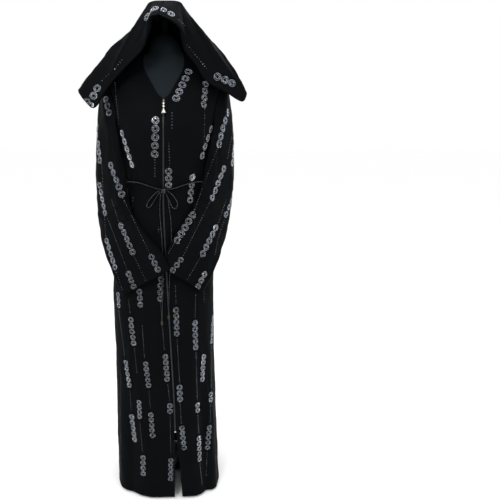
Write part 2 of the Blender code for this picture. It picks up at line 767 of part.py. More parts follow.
def hood_line(table, place, side):
    """One line of the hood, from inside its crown over the side to the turned-under end."""
    line = [crown_point(math.pi * place, share, side) for share in (0.5, 1.0)]
    line += [hood_outer(table, place, side, share) for share in HOOD_ROWS]
    inside = []
    for share, depth in EDGE_TURN:
        inward = hood_inward(table, place, side, share)
        turned_in = hood_outer(table, place, side, share) + inward * EDGE_ROUND * depth
        inside.append(stand_off(turned_in, HOOD_CLEAR))
    start = inside[1]
    under, end = hood_value(HOOD_UNDER, place, 1), hood_value(HOOD_UNDER, place, 2)
    under.x, end.x = under.x * side, end.x * side
    reach = smooth_step((place - UNDER_START[0]) / (UNDER_START[1] - UNDER_START[0]))
    line += inside[:2]
    for turned_point, share in zip(inside[2:], (0.35, 0.68, 1.0)):
        way = start * (1 - share) ** 2 + under * 2 * share * (1 - share) + end * share**2
        line.append(stand_off(turned_point.lerp(way, reach), HOOD_CLEAR))
    return [point + Vector((side * HOOD_SEAM, 0.0, 0.0)) for point in line]


def make_hood_half(name, side, table, material, collection, columns=20):
    """Half of the hood, with its share of the crown and the cloth turned under its edge."""
    lines = [hood_line(table, place / columns, side) for place in range(columns + 1)]
    rows = [list(row) for row in zip(*lines)]
    pole = Vector((side * HOOD_SEAM, 0.0, CROWN_Z))
    return cloth(name, rows, material, collection, pole=pole)


def make_tape(name, side, material, collection):
    """Half of the zip's tape, behind the front's edge."""
    depth = -(WALL / 2.0 + 1.6 * SEAM + TAPE_WALL / 2.0)
    rows = []
    stops = [stop for stop in BODY_STOPS if ZIP_END_Z <= stop < ZIP_TOP_Z] + [ZIP_TOP_Z - 0.002]
    for height in heights(stops, ROW_SPACING):
        middle = read_table(BODY, ZIP_X, height)
        row = []
        for away in (SEAM / 2.0, ZIP_GAP, TAPE_WIDTH * 0.6, TAPE_WIDTH):
            row.append(front_point(middle + side * away, height, depth))
        rows.append(row)
    return cloth(name, rows, material, collection, wall=TAPE_WALL)


def box_mesh(shape, low, high):
    """Add a box between two corners."""
    made = bmesh.ops.create_cube(shape, size=1.0)["verts"]
    for vert in made:
        for axis in range(3):
            share = vert.co[axis] + 0.5
            vert.co[axis] = low[axis] + (high[axis] - low[axis]) * share


def place_on_zip(made, height, out):
    """Stand an object on the zip line with -Z down the zip and -Y out of the cloth."""
    reach = 0.01
    above, below = (
        front_point(read_table(BODY, ZIP_X, height + step), height + step, 0.0)
        for step in (reach, -reach)
    )
    down = (below - above).normalized()
    away = Vector((0.0, down.z, -down.y)).normalized()
    made.location = front_point(read_table(BODY, ZIP_X, height), height, 0.0) + away * out
    made.rotation_euler = (math.atan2(down.y, -down.z), 0.0, 0.0)


def make_slider(material, collection, cutters):
    """The zip's slider: a plate with a bail that holds the pull's ring."""
    half_width, half_length = SLIDER_HALF
    inner, outer = SLIDER_OUT
    mesh = bpy.data.meshes.new("zip_slider")
    shape = bmesh.new()
    box_mesh(shape, (-half_width, -outer, -half_length), (half_width, -inner, half_length))
    shape.to_mesh(mesh)
    shape.free()
    made = add_object("zip_slider", mesh, material, collection)
    edge = made.modifiers.new("edge", "BEVEL")
    edge.width = 0.0006
    edge.segments = 2
    bail = bpy.data.meshes.new("bail")
    shape = bmesh.new()
    thick = BAIL_RADIUS
    box_mesh(shape, (-BAIL_HALF - 2 * thick, -BAIL_OUT - thick, -thick),
             (-BAIL_HALF, -outer + 0.0004, thick))
    box_mesh(shape, (BAIL_HALF, -BAIL_OUT - thick, -thick),
             (BAIL_HALF + 2 * thick, -outer + 0.0004, thick))
    shape.to_mesh(bail)
    shape.free()
    posts = add_object("bail_posts", bail, material, cutters)
    bar_mesh = bpy.data.meshes.new("bail_bar")
    shape = bmesh.new()
    box_mesh(shape, (-BAIL_HALF - thick, -BAIL_OUT - thick, -thick * 0.999),
             (BAIL_HALF + thick, -BAIL_OUT + thick, thick * 0.999))
    shape.to_mesh(bar_mesh)
    shape.free()
    bar = add_object("bail_bar", bar_mesh, material, cutters)
    for tool in (posts, bar):
        tool.hide_render = True
        tool.display_type = "WIRE"
        join = made.modifiers.new("join", "BOOLEAN")
        join.operation = "UNION"
        join.object = tool
        tool.parent = made
    place_on_zip(made, SLIDER_Z, 0.0)
    return made


def make_pull(material, collection, cutters):
    """The pull: a ring on the bail, two beads and a bell, in one piece."""
    pull = turned("zip_pull", PULL_PROFILE, material, collection, steps=14)
    bpy.ops.mesh.primitive_torus_add(
        major_radius=RING_RADIUS, minor_radius=RING_WIRE, major_segments=20, minor_segments=8,
        rotation=(0.0, math.pi / 2.0, 0.0))
    ring = bpy.context.object
    ring.name = "pull_ring"
    for home in list(ring.users_collection):
        home.objects.unlink(ring)
    cutters.objects.link(ring)
    ring.hide_render = True
    ring.display_type = "WIRE"
    ring.scale.y = RING_NARROW
    ring.location = (0.0, 0.0, -(RING_RADIUS - RING_WIRE - BAIL_RADIUS - RING_PLAY))
    ring.parent = pull
    join = pull.modifiers.new("ring", "BOOLEAN")
    join.operation = "UNION"
    join.object = ring
    place_on_zip(pull, SLIDER_Z, BAIL_OUT)
    pull.rotation_euler.x -= math.radians(PULL_LEAN)
    return pull


def make_stop(material, collection):
    """The metal stop at the zip's lower end."""
    mesh = bpy.data.meshes.new("zip_stop")
    shape = bmesh.new()
    box_mesh(shape, (-0.0025, -0.0016, -0.0020), (0.0025, WALL / 2.0 - 0.0002, 0.0020))
    shape.to_mesh(mesh)
    shape.free()
    made = add_object("zip_stop", mesh, material, collection)
    edge = made.modifiers.new("edge", "BEVEL")
    edge.width = 0.0004
    edge.segments = 2
    place_on_zip(made, ZIP_END_Z + 0.004, 0.0)
    return made


def belt_height(angle):
    """The belt's height round the waist: low at the knot, higher beside it, low at the sides."""
    away = abs((angle + 180.0) % 360.0 - 180.0)
    up = smooth_step(away / BELT_RISE_END)
    down = smooth_step((away - BELT_FALL[0]) / (BELT_FALL[1] - BELT_FALL[0]))
    return KNOT_Z + BELT_SIDE_RISE * up * (1.0 - down)


def make_belt(material, collection, steps=52):
    """The belt round the waist: a thin round cord on the cloth."""
    points = []
    for step in range(steps):
        angle = 360.0 * step / steps
        points.append(body_point(angle, belt_height(angle), BELT_OUT))
    return tube("belt", points, BELT_RADIUS, material, collection, closed=True)


def route_points(route):
    """The points of a cord that lies on the front."""
    return [front_point(across, height, out) for across, height, out in route]


def make_knot(material, collection):
    """The belt's knot."""
    bpy.ops.mesh.primitive_uv_sphere_add(segments=12, ring_count=8, radius=1.0)
    made = bpy.context.object
    made.name = "belt_knot"
    made.data.name = "belt_knot"
    for home in list(made.users_collection):
        home.objects.unlink(made)
    collection.objects.link(made)
    made.data.materials.append(material)
    for vert in made.data.vertices:
        for axis in range(3):
            vert.co[axis] *= KNOT_SIZE[axis]
    made.data.shade_smooth()
    made.location = front_point(read_table(BODY, ZIP_X, KNOT_Z), KNOT_Z, KNOT_OUT)
    return made


def make_tail_end(name, tail, material, collection):
    """The small turned end of a tail, below its cord."""
    half = TAIL_END_LENGTH / 2.0
    radius = TAIL_END_RADIUS
    profile = ((0.0, 0.0), (0.0, radius * 0.4), (half * 0.25, radius * 0.85), (half, radius),
               (half * 1.7, radius * 0.8), (half * 2.0, radius * 0.4), (half * 2.0, 0.0))
    made = turned(name, profile, material, collection, steps=12)
    across, height = tail[-1][:2]
    made.location = front_point(across, height, WALL / 2.0 + SEAM + TAIL_END_RADIUS)
    made.location.z = route_points(tail)[-1].z - SEAM
    return made


def form_ring(height, sides):
    """A ring of the dress form."""
    if height > NECK_TOP_Z:
        half, front, back = (read_table(NECK, column, height) for column in (1, 2, 3))
        ring = []
        for place in range(sides):
            turn = 2.0 * math.pi * place / sides
            depth = front if math.cos(turn) >= 0.0 else back
            ring.append(Vector((half * math.sin(turn), -depth * math.cos(turn), height)))
        return ring
    share = read_table(FORM_TAPER, 1, height) if height < FORM_TAPER[-1][0] else 1.0
    clear = read_table(FORM_CLEAR, 1, height)
    ring = []
    for place in range(sides):
        angle = 360.0 * place / sides
        point = body_flat(angle, height) - body_normal(angle, height) * clear
        ring.append(Vector((point.x * share, point.y * share, height if share < 1.0 else point.z)))
    return ring


def make_form(material, collection, sides=26):
    """The dress form: hips, waist, bust, shoulders and a round-topped neck, in one piece."""
    stops = (FORM_LOW_Z, 0.815, 0.85, 0.90, 0.95, 1.01, 1.069, 1.117, 1.15, 1.205, 1.245, 1.285,
             1.323, 1.35, 1.375, 1.41, 1.425, 1.437, 1.455, 1.475, 1.490)
    rings = [form_ring(height, sides) for height in stops]
    rings += [form_ring(row[0], sides) for row in NECK]
    return loft("dress_form", rings, material, collection)


def make_rest(material, collection):
    """The plain post and oval block on the neck that hold the hood's crown up."""
    slope = math.atan(CROWN_SLOPE)
    drop = WALL / 2.0 + SEAM
    top_z = CROWN_Z - drop / math.cos(slope)
    mesh = bpy.data.meshes.new("hood_rest")
    shape = bmesh.new()
    made = bmesh.ops.create_cone(shape, cap_ends=True, segments=32, radius1=1.0, radius2=1.0,
                                 depth=1.0)["verts"]
    for vert in made:
        top = vert.co.z > 0.0
        shrink = 1.0 if top else 0.86
        across, along = vert.co.x * REST_HALF[0] * shrink, vert.co.y * REST_HALF[1] * shrink
        vert.co = (across, along, top_z + CROWN_SLOPE * along - (0.0 if top else REST_THICK))
    shape.to_mesh(mesh)
    shape.free()
    block = add_object("hood_rest", mesh, material, collection)
    post_mesh = bpy.data.meshes.new("rest_post")
    shape = bmesh.new()
    low, high = NECK[-1][0] + SEAM, top_z - REST_THICK / 2.0
    made = bmesh.ops.create_cone(shape, cap_ends=True, segments=16, radius1=POST_RADIUS,
                                 radius2=POST_RADIUS, depth=high - low)["verts"]
    for vert in made:
        vert.co.z += (high + low) / 2.0
    shape.to_mesh(post_mesh)
    shape.free()
    return block, post_mesh


def make_pole(material, collection):
    """The stand's pole."""
    low, high = BASE_THICK + SEAM, FORM_LOW_Z - SEAM
    bpy.ops.mesh.primitive_cylinder_add(vertices=20, radius=POLE_RADIUS, depth=high - low,
                                        location=(0.0, 0.0, (high + low) / 2.0))
    made = bpy.context.object
    made.name = "stand_pole"
    for home in list(made.users_collection):
        home.objects.unlink(made)
    collection.objects.link(made)
    made.data.materials.append(material)
    return made


def make_base(material, collection):
    """The stand's foot: a flat plate with three arms."""
    curve = bpy.data.curves.new("stand_base", "CURVE")
    curve.dimensions = "2D"
    curve.fill_mode = "BOTH"
    curve.extrude = BASE_THICK / 2.0
    outline = []
    half = BASE_ARM_WIDTH / 2.0
    for turn_degrees in sorted(BASE_ARM_REACH):
        turn = math.radians(turn_degrees)
        reach = BASE_ARM_REACH[turn_degrees] - half
        along = Vector((math.cos(turn), math.sin(turn)))
        aside = Vector((-along.y, along.x))
        outline.append(along * (half * 1.6) - aside * half)
        for step in range(9):
            bend = math.pi * (step / 8.0 - 0.5)
            outline.append(along * (reach + half * math.cos(bend)) + aside * half * math.sin(bend))
        outline.append(along * (half * 1.6) + aside * half)
    line = curve.splines.new("POLY")
    line.points.add(len(outline) - 1)
    for place, point in enumerate(outline):
        line.points[place].co = (point.x, point.y, 0.0, 1.0)
    line.use_cyclic_u = True
    made = add_object("stand_base", curve, material, collection)
    made.location.z = BASE_THICK / 2.0
    return made


def new_collection(name):
    """A collection in the scene."""
    made = bpy.data.collections.new(name)
    bpy.context.scene.collection.children.link(made)
    return made


def main():
    """Build the abaya, its zip and belt, and the form and stand that it is on."""
    clear_scene()
    parts = new_collection("hooded_abaya")
    cutters = new_collection("cutters")
    black = look("abaya_cloth", CLOTH_LOOK)
    tape = look("zip_tape", TAPE_LOOK)
    jersey = look("form_cover", FORM_LOOK)
    gold = look("gold_metal", GOLD_LOOK)
    steel = look("stand_metal", STEEL_LOOK)

    make_front("front_left", 1, black, parts)
    make_front("front_right", -1, black, parts)
    make_back(black, parts)
    make_sleeve("sleeve_left", 1, SLEEVE_LEFT, black, parts)
    make_sleeve("sleeve_right", -1, SLEEVE_RIGHT, black, parts)
    make_hood_half("hood_left", 1, HOOD_LEFT, black, parts)
    make_hood_half("hood_right", -1, HOOD_RIGHT, black, parts)

    make_tape("zip_tape_left", 1, tape, parts)
    make_tape("zip_tape_right", -1, tape, parts)
    make_slider(gold, parts, cutters)
    make_pull(gold, parts, cutters)
    make_stop(gold, parts)

    make_belt(black, parts)
    make_knot(black, parts)
    spacing = 6.0 * BELT_RADIUS
    for name, route in (("belt_loop_left", LOOP_LEFT), ("belt_loop_right", LOOP_RIGHT)):
        tube(name, curve_through(route_points(route), spacing / 2.0), BELT_RADIUS, black, parts)
    for name, route in (("belt_tail_left", TAIL_LEFT), ("belt_tail_right", TAIL_RIGHT)):
        tube(name, curve_through(route_points(route), spacing), BELT_RADIUS, black, parts)
    make_tail_end("tail_end_left", TAIL_LEFT, gold, parts)
    make_tail_end("tail_end_right", TAIL_RIGHT, gold, parts)

    make_form(jersey, parts)
    block, post_mesh = make_rest(jersey, parts)
    post = add_object("rest_post", post_mesh, jersey, cutters)
    post.hide_render = True
    post.display_type = "WIRE"
    join = block.modifiers.new("post", "BOOLEAN")
    join.operation = "UNION"
    join.object = post
    make_pole(steel, parts)
    make_base(steel, parts)


main()
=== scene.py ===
import json
import math

import bpy
import numpy as np
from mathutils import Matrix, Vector
from mathutils.bvhtree import BVHTree


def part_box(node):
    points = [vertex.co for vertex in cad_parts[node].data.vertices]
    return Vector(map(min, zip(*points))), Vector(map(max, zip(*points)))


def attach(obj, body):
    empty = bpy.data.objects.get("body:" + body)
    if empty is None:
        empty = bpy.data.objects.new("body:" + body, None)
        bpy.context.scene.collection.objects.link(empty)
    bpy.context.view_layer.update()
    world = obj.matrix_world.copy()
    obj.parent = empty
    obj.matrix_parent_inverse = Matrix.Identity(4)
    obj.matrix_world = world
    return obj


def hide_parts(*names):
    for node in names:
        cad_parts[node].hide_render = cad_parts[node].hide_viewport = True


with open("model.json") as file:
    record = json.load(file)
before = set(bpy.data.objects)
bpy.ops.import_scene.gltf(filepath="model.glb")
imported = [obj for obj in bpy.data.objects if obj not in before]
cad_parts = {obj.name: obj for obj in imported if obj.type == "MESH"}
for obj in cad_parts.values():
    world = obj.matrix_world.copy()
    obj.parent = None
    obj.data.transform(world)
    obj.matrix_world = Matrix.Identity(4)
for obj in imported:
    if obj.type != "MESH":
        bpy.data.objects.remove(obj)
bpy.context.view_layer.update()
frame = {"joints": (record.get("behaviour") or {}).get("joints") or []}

GARMENT = "abaya"
PULL = "pull"


def ride(made, node=None):
    """Put a piece on the garment's body, and let it stand for a node of the solids."""
    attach(made, GARMENT)
    if node is not None:
        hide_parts(node)
    return made


def node_middle(node, at_top=False):
    """The middle of a node of the solids, or the middle of its top."""
    low, high = (Vector(corner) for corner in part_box(node))
    middle = (low + high) / 2.0
    if at_top:
        middle.z = high.z
    return middle


def place_in_scene(name, data):
    """A new object that shows in the scene."""
    made = bpy.data.objects.new(name, data)
    bpy.context.scene.collection.objects.link(made)
    return made


# Camera
CAMERA_BACK = 1.7
CAMERA_HEIGHT = 1.3
CAMERA_TILT = 19.0
FOCUS_PIXELS = 511.11
MIDDLE_PIXEL = (165.0, 301.79)     # where the camera's axis meets the front view
SIDE_PIXEL = 368.0                 # the same, across the side view
IMAGE = 500.0
SENSOR = 36.0

# Cloth, as in the solids
WALL = 0.0015
SHELL = 0.0012
SEAM = 0.0003
HEM_Z = 0.010
ZIP_TOP_Z = 1.375
ZIP_END_Z = 0.270
NECK_TOP_Z = 1.502
ZIP_GAP = 0.0030
SLIT_OPEN = 0.021
BACK_TRAIL = 0.009        # the back's hem hangs lower than the solid's
BELT_RADIUS = 0.0020

# Height, half width, depth in front, depth behind, middle, the zip's place across, squareness
BODY = (
    (0.010, 0.194, 0.155, 0.212, 0.016, 0.040, 2.70), (0.180, 0.189, 0.140, 0.203, 0.010, 0.039, 2.60),
    (0.400, 0.181, 0.134, 0.189, 0.004, 0.031, 2.50), (0.570, 0.176, 0.130, 0.181, -0.001, 0.021, 2.40),
    (0.758, 0.173, 0.125, 0.164, -0.005, 0.010, 2.30), (0.850, 0.169, 0.109, 0.154, -0.004, 0.005, 2.30),
    (0.935, 0.161, 0.107, 0.142, -0.003, 0.001, 2.20), (1.010, 0.150, 0.117, 0.124, -0.001, -0.003, 2.10),
    (1.069, 0.140, 0.122, 0.109, 0.000, -0.005, 2.00), (1.117, 0.134, 0.122, 0.096, 0.000, -0.005, 2.00),
    (1.150, 0.137, 0.134, 0.098, 0.000, -0.005, 2.00), (1.205, 0.147, 0.151, 0.104, 0.000, -0.005, 2.00),
    (1.285, 0.157, 0.171, 0.107, 0.000, -0.005, 2.10), (1.323, 0.163, 0.165, 0.105, 0.000, -0.005, 2.20),
    (1.375, 0.172, 0.138, 0.100, 0.000, -0.004, 2.30), (1.410, 0.178, 0.112, 0.093, 0.000, -0.004, 2.40),
    (1.435, 0.173, 0.091, 0.086, 0.000, -0.004, 2.40), (1.455, 0.150, 0.074, 0.078, 0.000, -0.004, 2.30),
    (1.475, 0.112, 0.061, 0.070, 0.000, -0.004, 2.20), (1.490, 0.084, 0.053, 0.062, 0.000, -0.004, 2.10),
    (1.502, 0.067, 0.048, 0.056, 0.000, -0.004, 2.00),
)
HALF, FRONT, BACK, MIDDLE, ZIP_X, SQUARE = range(1, 7)

CREASE_ENDS = 0.3        # share of a crease over which each end fades
CREASE_LEAN = 0.45       # how much steeper one side of a crease is
STITCH_DEPTH = 0.0006    # of a stitched line in the cloth

# The skirt's long folds: angle at the hem and at the top, half width, crest, top
FOLDS = (
    (-62, -58, 9, 0.007, 0.62), (-44, -40, 7, -0.006, 0.70), (-20, -17, 9, 0.004, 0.66),
    (30, 26, 8, 0.004, 0.60), (47, 45, 6, -0.009, 0.74), (60, 57, 8, 0.007, 0.72),
    (104, 100, 10, -0.006, 0.66), (121, 119, 10, 0.009, 0.84), (143, 139, 9, -0.007, 0.80),
    (160, 157, 9, 0.008, 0.86), (183, 180, 9, -0.006, 0.80), (203, 199, 9, 0.008, 0.84),
    (224, 220, 8, -0.008, 0.78), (243, 240, 10, 0.007, 0.72),
)
FOLD_FULL_DROP = 0.55

NECK_EDGE = (
    (1.375, 0.0035), (1.385, 0.0160), (1.420, 0.0370), (1.455, 0.0560), (1.478, 0.0600), (1.490, 0.0590),
    (1.502, 0.0560),
)
ARMHOLE_LOW, ARMHOLE_HIGH = 1.245, 1.437
ARMHOLE_ANGLE = 27.0
SLEEVE_LAP = 0.004
HEAD_GAP = 0.0007
SHOULDER_LIFT = 0.0020

# Sleeves: back or lower edge, front or upper edge, half thickness
SLEEVE_RIGHT = (
    ((-0.214, 0.006, 1.170), (-0.130, -0.098, 1.176), 0.024),
    ((-0.217, 0.010, 1.080), (-0.124, -0.093, 1.100), 0.023),
    ((-0.215, 0.012, 0.998), (-0.110, -0.096, 1.048), 0.022),
    ((-0.207, -0.012, 0.934), (-0.079, -0.112, 0.998), 0.020),
    ((-0.190, -0.046, 0.882), (-0.050, -0.124, 0.955), 0.017),
    ((-0.166, -0.080, 0.830), (-0.020, -0.133, 0.910), 0.015),
    ((-0.139, -0.106, 0.774), (0.006, -0.140, 0.864), 0.014),
)
SLEEVE_LEFT = (
    ((0.214, 0.006, 1.170), (0.131, -0.098, 1.178), 0.024),
    ((0.215, 0.012, 1.080), (0.123, -0.094, 1.120), 0.023),
    ((0.209, 0.016, 1.000), (0.100, -0.100, 1.064), 0.022),
    ((0.196, -0.010, 0.940), (0.066, -0.116, 1.008), 0.020),
    ((0.177, -0.046, 0.885), (0.040, -0.124, 0.962), 0.017),
    ((0.152, -0.084, 0.834), (0.024, -0.129, 0.915), 0.016),
    ((0.123, -0.109, 0.787), (0.012, -0.131, 0.862), 0.0145),
)
SLEEVE_CLEAR = 0.0085
CAP_SWELL = 0.044
CAP_STEPS = 5
CAP_LEAST = 0.12           # least share of the swell, under the arm
CAP_DROPS = (0.18, 0.5)    # how far down the head's curve is drawn, at its two ends
CAP_CLEAR = (0.0038, 0.004)    # clear of the body at the armhole, and what is added further down

# Hood: place round it, lower or front end of the line, swell
CROWN_HALF_X = 0.052
CROWN_HALF_Y = 0.071
CROWN_SQUARE = 4.0
CROWN_Z = 1.6185
CROWN_SLOPE = -0.19
HOOD_LEFT = (
    (0.00, (-0.018, -0.148, 1.584), 0.004), (0.08, (0.030, -0.149, 1.563), 0.004),
    (0.15, (0.053, -0.140, 1.535), 0.004), (0.22, (0.058, -0.126, 1.500), 0.006),
    (0.29, (0.088, -0.116, 1.464), 0.012), (0.36, (0.119, -0.113, 1.421), 0.020),
    (0.43, (0.172, -0.118, 1.394), 0.026), (0.49, (0.222, -0.119, 1.368), 0.026),
    (0.53, (0.236, -0.108, 1.388), 0.026), (0.60, (0.231, -0.048, 1.398), 0.024),
    (0.68, (0.224, 0.004, 1.402), 0.022), (0.78, (0.172, 0.062, 1.388), 0.014),
    (0.87, (0.112, 0.094, 1.364), 0.010), (1.00, (0.000, 0.103, 1.430), 0.006),
)
HOOD_RIGHT = (
    (0.00, (-0.018, -0.148, 1.584), 0.004), (0.08, (-0.044, -0.150, 1.574), 0.004),
    (0.15, (-0.053, -0.140, 1.532), 0.004), (0.22, (-0.068, -0.129, 1.499), 0.006),
    (0.29, (-0.101, -0.120, 1.469), 0.008), (0.36, (-0.146, -0.120, 1.425), 0.012),
    (0.43, (-0.180, -0.128, 1.384), 0.014), (0.49, (-0.208, -0.132, 1.350), 0.014),
    (0.53, (-0.248, -0.118, 1.394), 0.014), (0.60, (-0.236, -0.048, 1.398), 0.018),
    (0.68, (-0.226, 0.004, 1.400), 0.020), (0.78, (-0.174, 0.062, 1.386), 0.014),
    (0.87, (-0.110, 0.094, 1.366), 0.010), (1.00, (0.000, 0.103, 1.430), 0.006),
)
HOOD_UNDER = (
    (0.45, (0.190, -0.070, 1.452), (0.118, -0.066, 1.470)),
    (0.53, (0.196, -0.056, 1.456), (0.104, -0.058, 1.482)),
    (0.60, (0.192, -0.034, 1.464), (0.090, -0.042, 1.494)),
    (0.68, (0.186, 0.002, 1.470), (0.080, 0.006, 1.508)),
    (0.78, (0.148, 0.060, 1.474), (0.066, 0.038, 1.509)),
    (0.87, (0.098, 0.092, 1.466), (0.046, 0.056, 1.507)),
    (1.00, (0.000, 0.098, 1.476), (0.000, 0.067, 1.506)),
)
UNDER_START = (0.46, 0.56)
EDGE_ROUND = 0.0045
EDGE_TURN = ((1.0, 1.0), (0.93, 1.5), (0.87, 1.8), (0.82, 2.1), (0.77, 2.3))
HOOD_MIDDLE = Vector((0.0, -0.020, 1.470))
HOOD_CLEAR = 0.0045
SEAM_BLEND = 0.10
HOOD_BACK_DENT = 0.016
HOOD_SEAM = 0.00045

# Belt: across, height, out from the cloth
KNOT_Z = 1.118
BELT_SIDE_RISE = 0.020
LOOP_RIGHT = (
    (-0.0141, 1.1170, 0.0110), (-0.0260, 1.1080, 0.0130), (-0.0380, 1.0940, 0.0140),
    (-0.0490, 1.0780, 0.0120), (-0.0530, 1.0670, 0.0090), (-0.0480, 1.0620, 0.0070),
    (-0.0400, 1.0700, 0.0060), (-0.0300, 1.0860, 0.0060), (-0.0200, 1.1020, 0.0060),
    (-0.0150, 1.1095, 0.0070),
)
LOOP_LEFT = (
    (0.0040, 1.1165, 0.0110), (0.0160, 1.1070, 0.0130), (0.0270, 1.0930, 0.0130), (0.0350, 1.0780, 0.0110),
    (0.0350, 1.0670, 0.0085), (0.0285, 1.0600, 0.0080), (0.0200, 1.0670, 0.0085), (0.0130, 1.0830, 0.0090),
    (0.0070, 1.0960, 0.0090), (0.0030, 1.1060, 0.0095),
)
TAIL_RIGHT = (
    (-0.0120, 1.1075, 0.0040), (-0.0138, 1.0940, 0.0036), (-0.0150, 1.0800, 0.0034),
    (-0.0155, 1.0600, 0.0034), (-0.0152, 1.0400, 0.0034), (-0.0140, 1.0200, 0.0034),
    (-0.0125, 1.0000, 0.0034), (-0.0111, 0.9800, 0.0034), (-0.0100, 0.9600, 0.0034),
    (-0.0080, 0.9200, 0.0042), (-0.0068, 0.8800, 0.0042), (-0.0062, 0.8400, 0.0042),
    (-0.0070, 0.8000, 0.0042), (-0.0085, 0.7600, 0.0034), (-0.0095, 0.7250, 0.0034),
    (-0.0100, 0.6950, 0.0034),
)
TAIL_LEFT = (
    (0.0015, 1.1060, 0.0040), (0.0058, 1.0960, 0.0036), (0.0095, 1.0850, 0.0034), (0.0125, 1.0600, 0.0034),
    (0.0149, 1.0450, 0.0034), (0.0170, 1.0300, 0.0034), (0.0184, 1.0100, 0.0034), (0.0195, 0.9900, 0.0034),
    (0.0200, 0.9700, 0.0034), (0.0200, 0.9500, 0.0034), (0.0190, 0.9100, 0.0042), (0.0165, 0.8700, 0.0042),
    (0.0145, 0.8300, 0.0042), (0.0130, 0.7900, 0.0042), (0.0120, 0.7500, 0.0034), (0.0118, 0.7150, 0.0034),
)


def make_camera():
    """The camera at the photograph's place."""
    data = bpy.data.cameras.new("camera")
    data.lens = FOCUS_PIXELS / IMAGE * SENSOR
    data.sensor_width = SENSOR
    data.shift_x = 0.5 - MIDDLE_PIXEL[0] / IMAGE
    data.shift_y = MIDDLE_PIXEL[1] / IMAGE - 0.5
    data.clip_end = 60.0
    camera = place_in_scene("camera", data)
    camera.location = (0.0, -CAMERA_BACK, CAMERA_HEIGHT)
    camera.rotation_euler = (math.radians(90.0 - CAMERA_TILT), 0.0, 0.0)
    bpy.context.scene.camera = camera


make_camera()


def smooth_step(value):
    """Ease from 0 to 1."""
    value = np.clip(value, 0.0, 1.0)
    return value * value * (3.0 - 2.0 * value)


def smooth_through(places, values, wanted):
    """Read a smooth curve through values at places, at the wanted places."""
    wide = (-1,) + (1,) * (values.ndim - 1)
    slope = np.empty_like(values)
    slope[1:-1] = (values[2:] - values[:-2]) / (places[2:] - places[:-2]).reshape(wide)
    slope[0] = (values[1] - values[0]) / (places[1] - places[0])
    slope[-1] = (values[-1] - values[-2]) / (places[-1] - places[-2])
    row = np.clip(np.searchsorted(places, wanted, side="right") - 1, 0, len(places) - 2)
    span = places[row + 1] - places[row]
    share = (wanted - places[row]) / span
    if values.ndim > 1:
        span, share = span.reshape(wide), share.reshape(wide)
    cube, square = share**3, share**2
    return (
        (2 * cube - 3 * square + 1) * values[row]
        + (cube - 2 * square + share) * span * slope[row]
        + (3 * square - 2 * cube) * values[row + 1]
        + (cube - square) * span * slope[row + 1]
    )


def read_rows(table, column, place):
    """Read a column of a table on a smooth curve through its rows."""
    xs = np.array([row[0] for row in table], float)
    ys = np.array([row[column] for row in table], float)
    return smooth_through(xs, ys, np.clip(place, xs[0], xs[-1]))


def wrapped(angle):
    """An angle in degrees, brought between -180 and 180."""
    return (angle + 180.0) % 360.0 - 180.0


def bell(away, width):
    """1 at the middle of a ridge or groove, fading to 0 at its sides."""
    return np.exp(-((away / width) ** 2))


def around(count):
    """Turns spaced evenly round a circle."""
    return np.linspace(0.0, math.tau, count, endpoint=False)


def body_flat(angle, height):
    """Points of the body's plain section, without folds."""
    angle, height = np.broadcast_arrays(np.asarray(angle, float), np.asarray(height, float))
    turn = np.radians(wrapped(angle))
    power = read_rows(BODY, SQUARE, height)
    across = np.sin(turn)
    along = np.maximum(1.0 - np.abs(across) ** power, 0.0) ** (1.0 / power)
    in_front = np.cos(turn) >= 0.0
    depth = np.where(in_front, -read_rows(BODY, FRONT, height), read_rows(BODY, BACK, height))
    x = read_rows(BODY, MIDDLE, height) + read_rows(BODY, HALF, height) * across
    return np.stack([x, depth * along, height], axis=-1)


def unit(vectors):
    """Vectors at length 1."""
    return vectors / np.maximum(np.linalg.norm(vectors, axis=-1, keepdims=True), 1e-12)


def body_normal(angle, height):
    """The way out of the body's surface."""
    turn_step, rise = 0.6, 0.003
    low, high = height - rise, np.minimum(height + rise, NECK_TOP_Z)
    round_way = body_flat(angle + turn_step, height) - body_flat(angle - turn_step, height)
    up_way = body_flat(angle, high) - body_flat(angle, low)
    return unit(np.cross(round_way, up_way))


def fold_height(angle, height):
    """How far the skirt's long folds lift the cloth."""
    lift = np.zeros(np.broadcast(angle, height).shape)
    for hem_angle, top_angle, half_width, crest, top in FOLDS:
        share = smooth_step((top - height) / FOLD_FULL_DROP)
        along = np.clip((top - height) / (top - HEM_Z), 0.0, 1.0)
        middle = top_angle + (hem_angle - top_angle) * along
        lift = lift + crest * share * bell(wrapped(angle - middle), half_width)
    return lift


def body_point(angle, height, out=0.0):
    """Points of the body's cloth, moved out from the middle of its wall."""
    angle, height = np.asarray(angle, float), np.asarray(height, float)
    lift = out + fold_height(angle, height)
    return body_flat(angle, height) + body_normal(angle, height) * lift[..., None]


def angle_at(across, height):
    """The front's angle at a place across."""
    share = (across - read_rows(BODY, MIDDLE, height)) / read_rows(BODY, HALF, height)
    return np.degrees(np.arcsin(np.clip(share, -1.0, 1.0)))


def front_point(across, height, out):
    """A point above the front's cloth, given its place across."""
    return Vector(body_point(angle_at(across, height), height, out))


def seam_angle(height, behind):
    """The angle of a side seam's edge."""
    power = read_rows(BODY, SQUARE, height)
    depth = read_rows(BODY, BACK if behind else FRONT, height)
    return np.degrees(np.arcsin((1.0 - (SEAM / depth) ** power) ** (1.0 / power)))


def armhole_half(height):
    """Half the armhole's angle at a height, or 0 above and below it."""
    middle = (ARMHOLE_HIGH + ARMHOLE_LOW) / 2.0
    reach = (ARMHOLE_HIGH - ARMHOLE_LOW) / 2.0
    return ARMHOLE_ANGLE * np.sqrt(np.maximum(1.0 - ((height - middle) / reach) ** 2, 0.0))


def side_edge(height, behind):
    """The side edge of a front or a back."""
    return np.minimum(seam_angle(height, behind), 90.0 - armhole_half(height))


